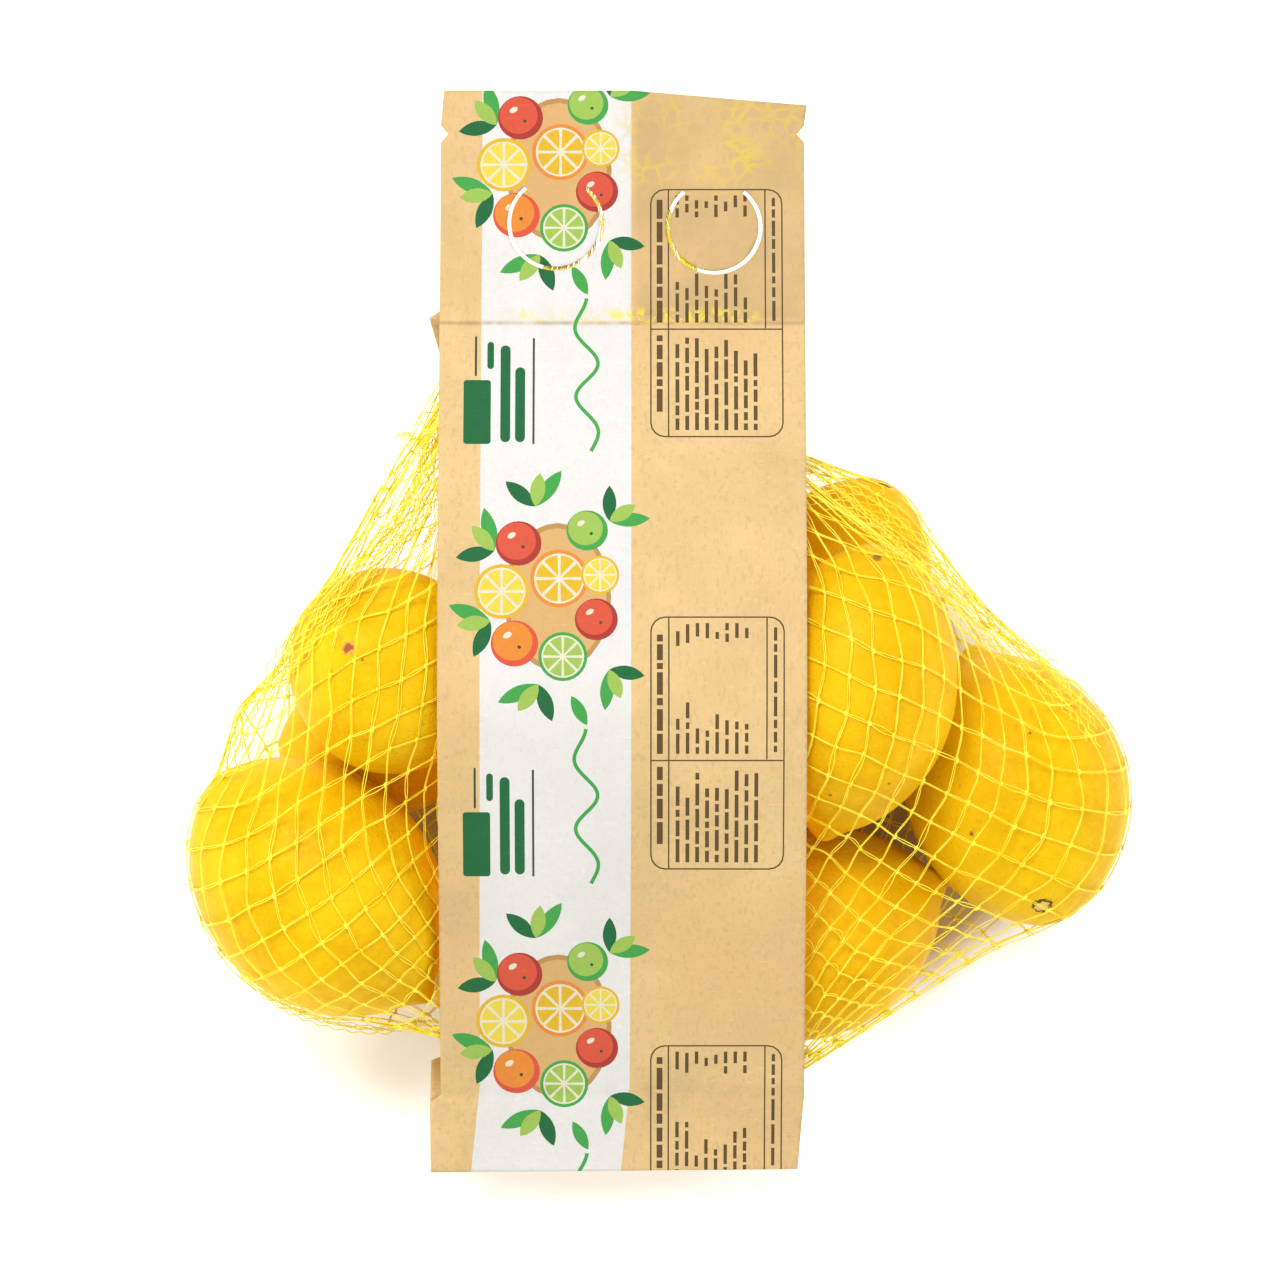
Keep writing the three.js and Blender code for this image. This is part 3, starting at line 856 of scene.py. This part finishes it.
def fruit_garland(base):
    """A ring of simple fruit, cut slices and leaves, standing in for the pack's picture."""
    shapes = []
    for x, y, turn, size in SPRIGS:
        shapes += sprig(x, y + base, turn, size)
    shapes += [("tan", oval_shape(-28, base + 9.5, 14.5, 20)),
               ("wood", oval_shape(-28, base + 9.5, 13.2, 18.6))]
    for draw, fruit in ((whole_fruit, WHOLE_FRUIT), (cut_fruit, CUT_FRUIT)):
        for x, y, *look in fruit:
            shapes += draw(x, base + y, *look)
    return shapes


def heading_mark(base):
    """Plain blocks, a wavy line and a leaf where the pack has its heading."""
    wave_y = np.linspace(0, 42, 60)
    wave_x = -19 + 3.4 * np.sin(wave_y / 3.1) * np.exp(-((wave_y - 20) / 24) ** 2) - 0.06 * wave_y
    wave = ribbon_shape(np.stack([wave_x, base - 2 + wave_y], axis=-1), 1.0)
    return boxes(HEADING_BOXES, base) + [("leaf", wave), ("leaf", leaf_shape(-20, base + 41, 9, 3.4, 118))]


def dash_column(x, low, high, width, rng):
    """A line of print as a row of dashes that runs up the band."""
    shapes = []
    while low < high - SHORTEST_DASH:
        length = rng.uniform(*DASH_LENGTHS)
        shapes.append(("ink", box_shape(x - width / 2, x + width / 2, low, min(low + length, high))))
        low += length + rng.uniform(*DASH_GAPS)
    return shapes


def print_panel(base, rng):
    """A thin frame with rows of dashes, as on the back of any pack."""
    shapes = boxes(PANEL_BOXES, base)
    shapes += dash_column(-0.4, base + 7, base + 28, 1.6, rng)
    shapes += dash_column(-0.4, base + 31.5, base + 65.5, 1.6, rng)
    for row in range(PANEL_ROWS):
        x = 4.4 + PANEL_ROW_STEP * row
        shapes += dash_column(x, base + 2, base + 28.5 - rng.uniform(0, 7), 1.05, rng)
        if row < PANEL_ROWS - 1:
            shapes += dash_column(x, base + 31.5, base + 31.5 + rng.uniform(6, 16), 0.95, rng)
            shapes += dash_column(x, base + 68.5 - rng.uniform(5, 8), base + 66.7, 0.95, rng)
    shapes += dash_column(30.7, base + 32, base + 66, 0.9, rng)
    return shapes


def band_print():
    """Every printed shape of the front band, the later ones over the earlier ones."""
    rng = np.random.default_rng(12)
    shapes = [("white", STRIPE)]
    for repeat in (-2, -1, 0, 1):
        base = PRINT_PERIOD * repeat
        shapes += fruit_garland(base)
        shapes += heading_mark(base + HEADING_START)
        shapes += print_panel(base + PANEL_START, rng)
    return shapes


# Band meshes and paper.

def notch(edge, inward):
    deep = edge + inward * NOTCH_DEPTH
    return [(edge, NOTCH_Y - NOTCH_HALF), (deep, NOTCH_Y), (edge, NOTCH_Y + NOTCH_HALF)]


def band_outline(ear):
    """Plan of a band, anticlockwise from the foot of its left edge."""
    return [
        (FOOT_LEFT, BAND_BOTTOM), (FOOT_RIGHT, BAND_BOTTOM + 1),
        (BAND_RIGHT, BOTTOM_WELD_Y), (BAND_RIGHT, TOP_WELD_Y),
        *notch(BAND_RIGHT, -1), (BAND_RIGHT + TOP_FLARE, TOP_RIGHT_Y),
        (TOP_CUT_BEND_X, BAND_TOP), (BAND_LEFT + TOP_FLARE, BAND_TOP),
        *reversed(notch(BAND_LEFT, 1)),
        (BAND_LEFT, TOP_WELD_Y + 2), (BAND_LEFT - ear, TOP_WELD_Y), (BAND_LEFT, TOP_WELD_Y - EAR_LENGTH),
        (BAND_LEFT, BOTTOM_WELD_Y + EAR_LENGTH), (BAND_LEFT - ear, BOTTOM_WELD_Y + EAR_LENGTH - 1),
        (BAND_LEFT - ear, BOTTOM_WELD_Y), (FOOT_LEFT, BOTTOM_WELD_Y - 2),
    ]


def finger_cut(x, y):
    """A C-shaped slit, as wide as the cut, that opens at its top."""
    steps = np.linspace(0, 1, FINGER_STEPS + 1)
    angles = math.pi / 2 + FINGER_OPENING / 2 + (2 * math.pi - FINGER_OPENING) * steps
    outer = arc(x, y, FINGER_RADIUS + FINGER_CUT / 2, angles)
    return outer + arc(x, y, FINGER_RADIUS - FINGER_CUT / 2, angles[::-1])


def divided(outline, most):
    """The outline, turned anticlockwise, with points added so that no side is longer than most."""
    x, y = np.array(outline).T
    area = np.sum(x * np.roll(y, -1) - y * np.roll(x, -1))
    outline = list(outline) if area > 0 else list(outline)[::-1]
    points = []
    for (x0, y0), (x1, y1) in zip(outline, outline[1:] + outline[:1]):
        parts = max(1, math.ceil(math.hypot(x1 - x0, y1 - y0) / most))
        points += [(x0 + (x1 - x0) * k / parts, y0 + (y1 - y0) * k / parts) for k in range(parts)]
    return points


def grid_points(grid):
    """Staggered rows of points over the whole plan."""
    points = []
    for row, y in enumerate(np.arange(BAND_BOTTOM - grid, BAND_TOP + grid, grid * 0.87)):
        shift = grid / 2 if row % 2 else 0
        points += [(x, y) for x in np.arange(FOOT_LEFT - grid + shift, BAND_RIGHT + 2 * grid, grid)]
    return points


def plan_triangles(outline, cuts, shapes):
    """Triangles over the plan. Each gets the number of the last shape that it lies in."""
    vertices = []
    faces = []
    for loop in (outline, *cuts, *(points for _, points in shapes)):
        points = divided(loop, PAPER_GRID)
        faces.append(list(range(len(vertices), len(vertices) + len(points))))
        vertices += points
    vertices += grid_points(PAPER_GRID)
    result = delaunay_2d_cdt([Vector(v) for v in vertices], [], faces, 0, 1e-4)
    points, triangles, inside = result[0], result[2], result[5]
    first_shape = 1 + len(cuts)
    kept, owners = [], []
    for triangle, owner in zip(triangles, inside):
        if 0 in owner and not any(1 <= o < first_shape for o in owner):
            kept.append(triangle)
            owners.append(max(owner) - first_shape)
    return np.array([tuple(p) for p in points]), np.array(kept), owners


def border_edges(triangles):
    """Edges that only one triangle has, in that triangle's direction."""
    edges = np.concatenate([triangles[:, [0, 1]], triangles[:, [1, 2]], triangles[:, [2, 0]]]).tolist()
    known = {tuple(edge) for edge in edges}
    return [edge for edge in edges if (edge[1], edge[0]) not in known]


def sheet_solid(plan, triangles, height, thickness):
    """A thin closed sheet: the top triangles, the same below, and walls between them."""
    used = np.unique(triangles)
    triangles = np.searchsorted(used, triangles)
    plan = plan[used]
    top = np.column_stack([plan, height(plan[:, 0], plan[:, 1])])
    corners = top[triangles]
    upward = np.cross(corners[:, 1] - corners[:, 0], corners[:, 2] - corners[:, 0])[:, 2]
    triangles = np.where(upward[:, None] > 0, triangles, triangles[:, ::-1])
    below = top - (0, 0, thickness)
    count = len(top)
    walls = [[b, a, a + count, b + count] for a, b in border_edges(triangles)]
    faces = triangles.tolist() + (triangles[:, ::-1] + count).tolist() + walls
    return np.concatenate([top, below]), faces


def add_band(name, node, outline, height, shapes, inks):
    """A paper band, whose top faces have the ink of the last shape over them."""
    cuts = [finger_cut(x, y) for x, y in FINGER_HOLES]
    plan, triangles, owners = plan_triangles(outline, cuts, shapes)
    points, faces = sheet_solid(plan, triangles, height, PAPER)
    names = list(inks)
    printed = [names.index(shapes[owner][0]) if owner >= 0 else 0 for owner in owners]
    plain = [0] * (len(faces) - len(printed))
    add_piece(name, points, faces, list(inks.values()), printed + plain, node)


def net_showing(place, base):
    """Crushed net that shows through: stains along the top weld and a faint mesh in the flap. The flap
    also gets a darker wash that is partly painted shade, and a painted shadow line along its crease.
    """
    axes = add_node("SeparateXYZ", {"Vector": place})
    across, along = axes["X"], axes["Y"]
    # The flap's darker wash, partly painted shade.
    flap = ramped(along, *FLAP_START)
    clouds = ramped(noise(place, 55, 3), 0.35, 0.65, 0.4, 0.9)
    plain_side = near_line(across, 0.02, 0.026, 0.003)
    base = mixed(product(flap, clouds, plain_side), base, FLAP_WASH_AND_SHADE)
    # Painted shadow: a thin dark line along the flap's crease, patchy along its length.
    crease = near_line(along, CREASE_Y, 0.0001, 0.0008)
    patchy_shadow = ramped(noise(place, 260, 2), 0.3, 0.6, 0.25, 0.7)
    base = mixed(product(crease, patchy_shadow), base, CREASE_SHADOW)
    inputs = {"Vector": stirred(place, 140, 0.008), "Scale": 230, "Randomness": 0.9}
    cells = add_node("TexVoronoi", inputs, feature="DISTANCE_TO_EDGE")["Distance"]
    mesh = ramped(cells, 0.0, 0.16, 0.8, 0)
    patch = ramped(noise(place, 70, 3), 0.4, 0.62, 0.1, 1)
    end = near_line(along, 0.134, 0.008, 0.012)
    side = near_line(across, 0.014, 0.02, 0.008)
    base = mixed(product(mesh, patch, end, side), base, FLAP_NET)
    blots = ramped(noise(place, 420, 4, 0.65, stretch=(1, 0.7, 1)), 0.47, 0.54, 0, 0.95)
    weld = near_line(along, STAINED_WELD_Y, 0.0002, 0.0026)
    gathered = near_line(across, -0.009, 0.031, 0.006)
    denser = ramped(across, -0.02, -0.004, 0.5, 1)
    return mixed(product(blots, weld, gathered, denser), base, WELD_NET)


def paper_material(name, colour, grain=1.0, shows_net=False):
    """Paper with clouds, pink and brown patches, fine fibres and small dark and light flecks."""
    material, shader, place = new_material(name, colour, 0.82, 0.12)
    darker = tuple(c * (1 - 0.14 * grain) for c in colour)
    lighter = tuple(min(1, c * (1 + 0.06 * grain)) for c in colour)
    base = mixed(ramped(noise(place, 34, 5, 0.65), 0.3, 0.7), darker, lighter)
    blush = ramped(noise(place, 13, 2), 0.48, 0.7, 0, 0.7 * grain)
    base = mixed(blush, base, (colour[0] * 0.97, colour[1] * 0.9, colour[2] * 0.9))
    fibre = noise(place, 900, 3, 0.7, stretch=(1, 0.35, 1))
    flecks = ramped(fibre, 0.52, 0.76, 0, 0.5 * grain)
    base = mixed(flecks, base, tuple(c * 0.6 for c in colour))
    light = ramped(noise(place, 1300, 2, 0.6, stretch=(0.3, 1, 1)), 0.6, 0.8, 0, 0.4)
    base = mixed(light, base, tuple(min(1, c * 1.25 + 0.03) for c in colour))
    if shows_net:
        base = net_showing(place, base)
    connect(base, shader, "Base Color")
    bumped(shader, fibre, 0.12, 0.0003)
    return material


def add_bands():
    inks = {"kraft": paper_material("kraft_paper", KRAFT, shows_net=True)}
    for name, colour in INKS.items():
        inks[name] = paper_material("print_" + name, colour, 0.4, shows_net=name == "white")
    add_band("front_band", "band_front", band_outline(0), front_z, band_print(), inks)
    plain = {"kraft": paper_material("kraft_paper_back", KRAFT_INNER)}
    add_band("back_band", "band_back", band_outline(BACK_EAR), back_z, [], plain)


# The net's course over the pile.

def under_front_band(x):
    return (x > BAND_LEFT - 1) & (x < BAND_RIGHT + 1)


def past_welds(y):
    return (y > TOP_WELD_Y) | (y < BOTTOM_WELD_Y)


def in_outline(points):
    """Keeps the net inside where it leaves the band: its throat at the upper right, its heel below."""
    x, y = points[..., 0], points[..., 1]
    above = y > THROAT[1]
    beside = ~above & (x > THROAT[0])
    heel = (x > HEEL[0]) & (x < BOTTOM_GATHER[0]) & (y < HEEL[1])
    for place, direction, applies in ((THROAT, THROAT_SIDE, above), (THROAT, THROAT_SHOULDER, beside),
                                      (HEEL, HEEL_SIDE, heel)):
        way_out = unit(np.array(direction))
        past = (points[..., :2] - place) @ way_out
        points[..., :2] -= (np.maximum(past, 0) * applies)[..., None] * way_out
    points[..., 1] = np.where(x <= HEEL[0], np.maximum(y, LOWEST_NET_Y), y)
    return points


def round_folds(points):
    for centre, radius, height in NET_FOLDS:
        offset = points[..., :2] - np.array(centre)
        away = np.linalg.norm(offset, axis=-1)
        depth = np.maximum(radius - away, 0) * (points[..., 2] < height)
        points[..., :2] += (depth / (away + 1e-6))[..., None] * offset
    return points


def kept_clear(points, gap):
    """Moves net points out of the lemons, off the floor and to the inner side of both bands."""
    for lemon in LEMONS.values():
        for distance in (lemon_distance, tip_distance):
            away, outward = distance(points, lemon)
            points = points + np.maximum(gap - away, 0)[..., None] * outward
    x, y = points[..., 0], points[..., 1]
    under_band = under_front_band(x)
    lowest = np.where(under_band, solid_back_z(y) + BAND_CLEARANCE, BAND_CLEARANCE) + FILAMENT
    below_paper = solid_front_z(y) - PAPER - BAND_CLEARANCE - FILAMENT - 0.4 * past_welds(y)
    highest = np.where(under_band, below_paper, CREST_Z + 3)
    points[..., 2] = np.clip(points[..., 2], lowest, np.maximum(highest, lowest))
    return points


def in_welds(points):
    """Keeps what is past a weld within the width that the net is gathered to."""
    for past, (left, right) in ((points[..., 1] > TOP_WELD_Y - 2, TOP_GATHER),
                                (points[..., 1] < BOTTOM_WELD_Y + 2, BOTTOM_GATHER)):
        points[..., 0] = np.where(past, np.clip(points[..., 0], left, right), points[..., 0])
    return points


def net_sides():
    """For each column 0 along the middle of the band, front and back, and 1 at the two sides."""
    return np.abs(np.cos(2 * math.pi * COLUMN_SHARES)) ** 1.5


def net_start():
    """A wide tube round the pile, gathered flat into both welds.

    The middle columns run on past the top weld and the outer ones past the bottom weld, so
    that the rows of cells come down from the band towards both sides.
    """
    rows = np.linspace(0, 1, NET_ROWS + 1)[:, None]
    angle = math.pi - 2 * math.pi * COLUMN_SHARES
    front = COLUMN_SHARES < 0.5
    across = np.where(front, COLUMN_SHARES * 2, 2 - COLUMN_SHARES * 2)
    top_y = TOP_WELD_Y + TOP_TONGUE * (1 - net_sides())
    bottom_y = BOTTOM_WELD_Y - BOTTOM_TONGUE * net_sides()
    y = top_y + (bottom_y - top_y) * rows
    rows = np.clip((TOP_WELD_Y - y) / (TOP_WELD_Y - BOTTOM_WELD_Y), 0, 1)
    bulge = np.sin(math.pi * rows) ** 0.6
    top_x = TOP_GATHER[0] + (TOP_GATHER[1] - TOP_GATHER[0]) * across
    bottom_x = BOTTOM_GATHER[0] + (BOTTOM_GATHER[1] - BOTTOM_GATHER[0]) * across
    flat_x = top_x * (1 - rows) + bottom_x * rows
    between_z = TOP_WELD_Z * (1 - rows) + BOTTOM_WELD_Z * rows
    flat_z = np.where(past_welds(y), solid_front_z(y), between_z)
    flat_z = flat_z - IN_WELD_DEPTH + np.where(front, IN_WELD_HALF, -IN_WELD_HALF)
    x = flat_x * (1 - bulge) + (START_HALF_WIDTH * np.cos(angle)) * bulge
    z = flat_z * (1 - bulge) + (START_MIDDLE_Z + START_HALF_HEIGHT * np.sin(angle)) * bulge
    return np.stack([x, y, z], axis=-1)


def edge_pull(ends, rest):
    """Pull along each edge that is longer than its rest length."""
    length = np.linalg.norm(ends, axis=-1, keepdims=True)
    return ends * np.maximum(length - rest, 0) / np.maximum(length, 1e-6)


def drawn_long(beside):
    """How much longer each cell hangs where the upper part of the net is drawn together."""
    width = np.linalg.norm(beside, axis=-1)
    width = (width[1:] + width[:-1] + np.roll(width, 1, axis=1)[1:] + np.roll(width, 1, axis=1)[:-1]) / 4
    drawn = 1 - np.clip(width / DRAWN_BELOW, 0, 1)
    upper = np.clip(1.35 - 1.7 * np.arange(NET_ROWS) / NET_ROWS, 0, 1)[:, None]
    return (1 + DRAWN_LENGTH * drawn * upper)[..., None]


def side_drop():
    """Longer cells above and shorter ones below at the two sides, where the lemons pull it down."""
    height = 1 - 2 * (np.arange(NET_ROWS) + 0.5) / NET_ROWS
    return (1 + SIDE_DROP * height[:, None] * net_sides())[..., None]


def relaxed_net():
    """The net drawn tight over the lemons by its own tension."""
    rng = np.random.default_rng(5)
    net = net_start()
    rest_along = REST_ALONG * rng.uniform(*SPREAD_ALONG, (NET_ROWS, NET_COLUMNS, 1)) * side_drop()
    rest_across = REST_ACROSS * rng.uniform(*SPREAD_ACROSS, (NET_ROWS + 1, NET_COLUMNS, 1))
    speed = np.zeros_like(net)
    for _ in range(NET_PULLS):
        beside = np.roll(net, -1, axis=1) - net
        across = ACROSS_STIFFNESS * edge_pull(beside, rest_across)
        along = edge_pull(net[1:] - net[:-1], rest_along * drawn_long(beside))
        pull = across - np.roll(across, 1, axis=1)
        pull[:-1] += along
        pull[1:] -= along
        speed = KEPT_SPEED * speed + PULL_SPEED * pull
        speed[[0, -1]] = 0
        moved = kept_clear(round_folds(in_welds(in_outline(net + speed))), NET_CLEARANCE)
        moved[[0, -1]] = net[[0, -1]]
        speed = moved - net
        net = moved
    return net


# The net's threads and knots.

def smooth_between(points, closed=False, shares=CELL_SHARES):
    """Catmull-Rom points between neighbours along the first axis."""
    if closed:
        before, after, beyond = np.roll(points, 1, 0), np.roll(points, -1, 0), np.roll(points, -2, 0)
        start = points
    else:
        padded = np.concatenate([2 * points[:1] - points[1:2], points, 2 * points[-1:] - points[-2:-1]])
        before, start, after, beyond = padded[:-3], padded[1:-2], padded[2:-1], padded[3:]
    t = np.reshape(shares, (1, -1) + (1,) * (points.ndim - 1))
    before, start, after, beyond = (p[:, None] for p in (before, start, after, beyond))
    curve = 0.5 * (
        2 * start + (after - before) * t
        + (2 * before - 5 * start + 4 * after - beyond) * t ** 2
        + (3 * start - before - 3 * after + beyond) * t ** 3
    )
    return curve.reshape((-1,) + points.shape[1:])


def round_way(net):
    """From each crossing's neighbour on one side to its neighbour on the other, round the pack."""
    return np.roll(net, -1, axis=1) - np.roll(net, 1, axis=1)


def tube_mesh(path, outward, closed=False):
    """Filaments along many paths at once. path and outward are points by strands by 3."""
    count, strands, _ = path.shape
    heading = np.roll(path, -1, 0) - np.roll(path, 1, 0) if closed else np.gradient(path, axis=0)
    heading = unit(heading)
    side = unit(np.cross(heading, outward))
    ring = FILAMENT * round_section(side, np.cross(side, heading), FILAMENT_SIDES)
    skin = np.transpose(path[..., None, :] + ring, (1, 0, 2, 3)).reshape(-1, 3)
    quads = ring_faces(count, FILAMENT_SIDES, closed)
    return skin, copied_faces(quads, strands, count * FILAMENT_SIDES)


def filament_pair(path, outward, rng, cells, closed=False):
    """The two filaments of each strand, close at the knots and parted by chance between them."""
    heading = np.roll(path, -1, 0) - path if closed else np.gradient(path, axis=0)
    side = unit(np.cross(unit(heading), outward))
    share = np.tile(CELL_SHARES, cells)
    arch = np.sin(math.pi * share)[:, None]
    parting = rng.gamma(*PARTING_SPREAD, (cells + 1, path.shape[1]))
    parting = np.repeat(parting, CELL_STEPS, axis=0)[:len(path)]
    apart = (FILAMENT * PAIR_AT_KNOT + np.minimum(parting, WIDEST_PARTING) * arch)[..., None]
    twist = np.sign(rng.normal(size=(1, path.shape[1], 1)))
    lift = outward * CROSSING_LIFT * (1 - arch)[..., None] * twist
    skins = []
    for sign in (1, -1):
        strand = kept_clear(path + sign * (side * apart + lift), STRAND_CLEARANCE)
        skin, quads = tube_mesh(strand, outward, closed)
        skins.append(skin)
    return np.concatenate(skins), copied_faces(quads, 2, len(skin)).tolist()


def lengthways_strands(net, normals, rng):
    """Strands that run from weld to weld, with a small sidestep at every knot."""
    path = smooth_between(net)
    outward = unit(smooth_between(normals))
    across = smooth_between(round_way(net))
    width = np.minimum(np.linalg.norm(across, axis=-1) / 2, SIDESTEP_WIDTH)
    cell = np.arange(len(path)) // CELL_STEPS
    saw = 1 - 2 * np.tile(CELL_SHARES, NET_ROWS)
    parity = np.where((cell[:, None] + np.arange(NET_COLUMNS)) % 2, 1, -1)
    path = path + unit(across) * (SIDESTEP * width * saw[:, None] * parity)[..., None]
    return filament_pair(path, outward, rng, NET_ROWS)


def crossways_strands(net, normals, rng):
    """Rings round the pack. Where the net is gathered they hang in small waves between knots."""
    down = np.gradient(net, axis=0)
    rings, ring_normals, down = (np.transpose(a[1:-1], (1, 0, 2)) for a in (net, normals, down))
    path = smooth_between(rings, closed=True)
    outward = unit(smooth_between(ring_normals, closed=True))
    down = smooth_between(down, closed=True)
    width = np.linalg.norm(np.roll(rings, -1, axis=0) - rings, axis=-1)
    slack = np.sqrt(np.maximum(CELL_WIDTH ** 2 - width ** 2, 0)) / 2
    cell = np.arange(len(path)) // CELL_STEPS
    row = np.arange(NET_ROWS - 1)
    parity = np.where((cell[:, None] + row) % 2, 1, -1)
    parity = np.where(row < ARCS_FROM_ROW, parity, -1)
    arch = np.tile(np.sin(math.pi * CELL_SHARES) ** 0.8, NET_COLUMNS)[:, None]
    wander = rng.normal(1, 0.3, slack.shape)
    slack, wander = (np.repeat(a, CELL_STEPS, axis=0) for a in (slack, wander))
    loose = np.maximum(slack - SLACK_TAKEN_UP, 0) * SAG_SHARE
    sag = np.minimum(loose, DEEPEST_SAG * np.linalg.norm(down, axis=-1)) * wander
    path = path + unit(down) * (sag * parity * arch)[..., None]
    return filament_pair(path, outward, rng, NET_COLUMNS, closed=True)


def knots(net, normals, rng):
    """A small oval knot at every crossing, set along the lengthways strand."""
    centre = net[1:-1].reshape(-1, 3)
    along = unit(np.gradient(net, axis=0)[1:-1]).reshape(-1, 3)
    side = unit(np.cross(along, normals[1:-1].reshape(-1, 3)))
    ring = round_section(side, np.cross(side, along), KNOT_SIDES)
    half = rng.uniform(*KNOT_HALF_LENGTHS, (len(centre), 1, 1))
    wide = rng.uniform(*KNOT_RADII, (len(centre), 1, 1))
    skin = np.stack([centre[:, None] + along[:, None] * half * step + ring * wide * swell
                     for step, swell in KNOT_RINGS], axis=1)
    size = len(KNOT_RINGS) * KNOT_SIDES
    quads = copied_faces(ring_faces(len(KNOT_RINGS), KNOT_SIDES), len(centre), size)
    caps = np.stack([np.arange(KNOT_SIDES)[::-1], np.arange(size - KNOT_SIDES, size)])
    return skin.reshape(-1, 3), quads.tolist() + copied_faces(caps, len(centre), size).tolist()


def taut_path(plan, ends, gap):
    """A line over the pile, taut in height between its two ends and fixed in plan."""
    ground = np.maximum(lemon_top(plan[:, 0], plan[:, 1]), 0) + gap
    height = np.maximum(ground, np.linspace(*ends, len(plan)))
    for _ in range(TAUT_ROUNDS):
        height[1:-1] = np.maximum(ground[1:-1], (height[:-2] + height[2:]) / 2)
    ceiling = solid_front_z(plan[:, 1]) - PAPER - BAND_CLEARANCE - FILAMENT
    height = np.where(under_front_band(plan[:, 0]), np.minimum(height, ceiling), height)
    return np.column_stack([plan, height])


def gathered_strand(course, strand, count, half_widths, rng):
    """Plan of one zigzag strand in its own lane along a course, which may end before the course."""
    length = np.linalg.norm(np.diff(course, axis=0), axis=-1).sum()
    share = np.linspace(0, rng.uniform(*GATHER_REACH), GATHER_SAMPLES)
    known = np.linspace(0, 1, len(course))
    plan = np.stack([np.interp(share, known, course[:, axis]) for axis in (0, 1)], axis=-1)
    half_width = np.interp(share, (0, 1), half_widths)
    spacing = 2 * half_width / count
    drift = 0.25 * half_width * np.sin(2 * math.pi * rng.uniform(0.6, 1.6) * share + rng.uniform(0, 6.28))
    cells = share * length / GATHER_CELL + 0.5 * strand + 0.12 * np.sin(9 * share + strand)
    zigzag = np.abs(2 * (cells % 1) - 1) * 2 - 1
    shift = spacing * (strand + 0.5 + rng.normal(0, 0.3) + 0.75 * zigzag) - half_width + drift
    return plan + left_of(plan) * shift[:, None]


def gathered_strands(rng):
    """Narrow strips of small cells where the net lies folded together over the pile."""
    paths = []
    for corners, ends, count, half_widths in NET_GATHERS:
        course = smooth_between(np.array(corners, dtype=float), shares=GATHER_BENDS)
        for strand in range(count):
            plan = gathered_strand(course, strand, count, half_widths, rng)
            paths.append(taut_path(plan, ends, NET_CLEARANCE + rng.uniform(0.1, 0.6)))
    path = np.stack(paths, axis=1)
    upward = np.zeros_like(path)
    upward[..., 2] = 1
    skin, quads = tube_mesh(path, upward)
    return skin, quads.tolist()


def net_material():
    material, shader, place = new_material("net_yellow", NET_LIGHT, 0.35, 0.25)
    tone = ramped(noise(place, 160, 2), 0.35, 0.65)
    connect(mixed(tone, NET_DEEP, NET_LIGHT), shader, "Base Color")
    return material


def add_net():
    rng = np.random.default_rng(31)
    material = net_material()
    net = relaxed_net()
    normals = unit(np.cross(round_way(net), -np.gradient(net, axis=0)))
    meshes = {
        "net_lengthways": lengthways_strands(net, normals, rng),
        "net_crossways": crossways_strands(net, normals, rng),
        "net_knots": knots(net, normals, rng),
        "net_gathers": gathered_strands(rng),
    }
    for name, (points, faces) in meshes.items():
        add_piece(name, points, faces, [material])


add_camera()
add_floor()
add_lights()
bpy.context.scene.view_settings.view_transform = "Standard"
add_lemons()
add_bands()
add_net()
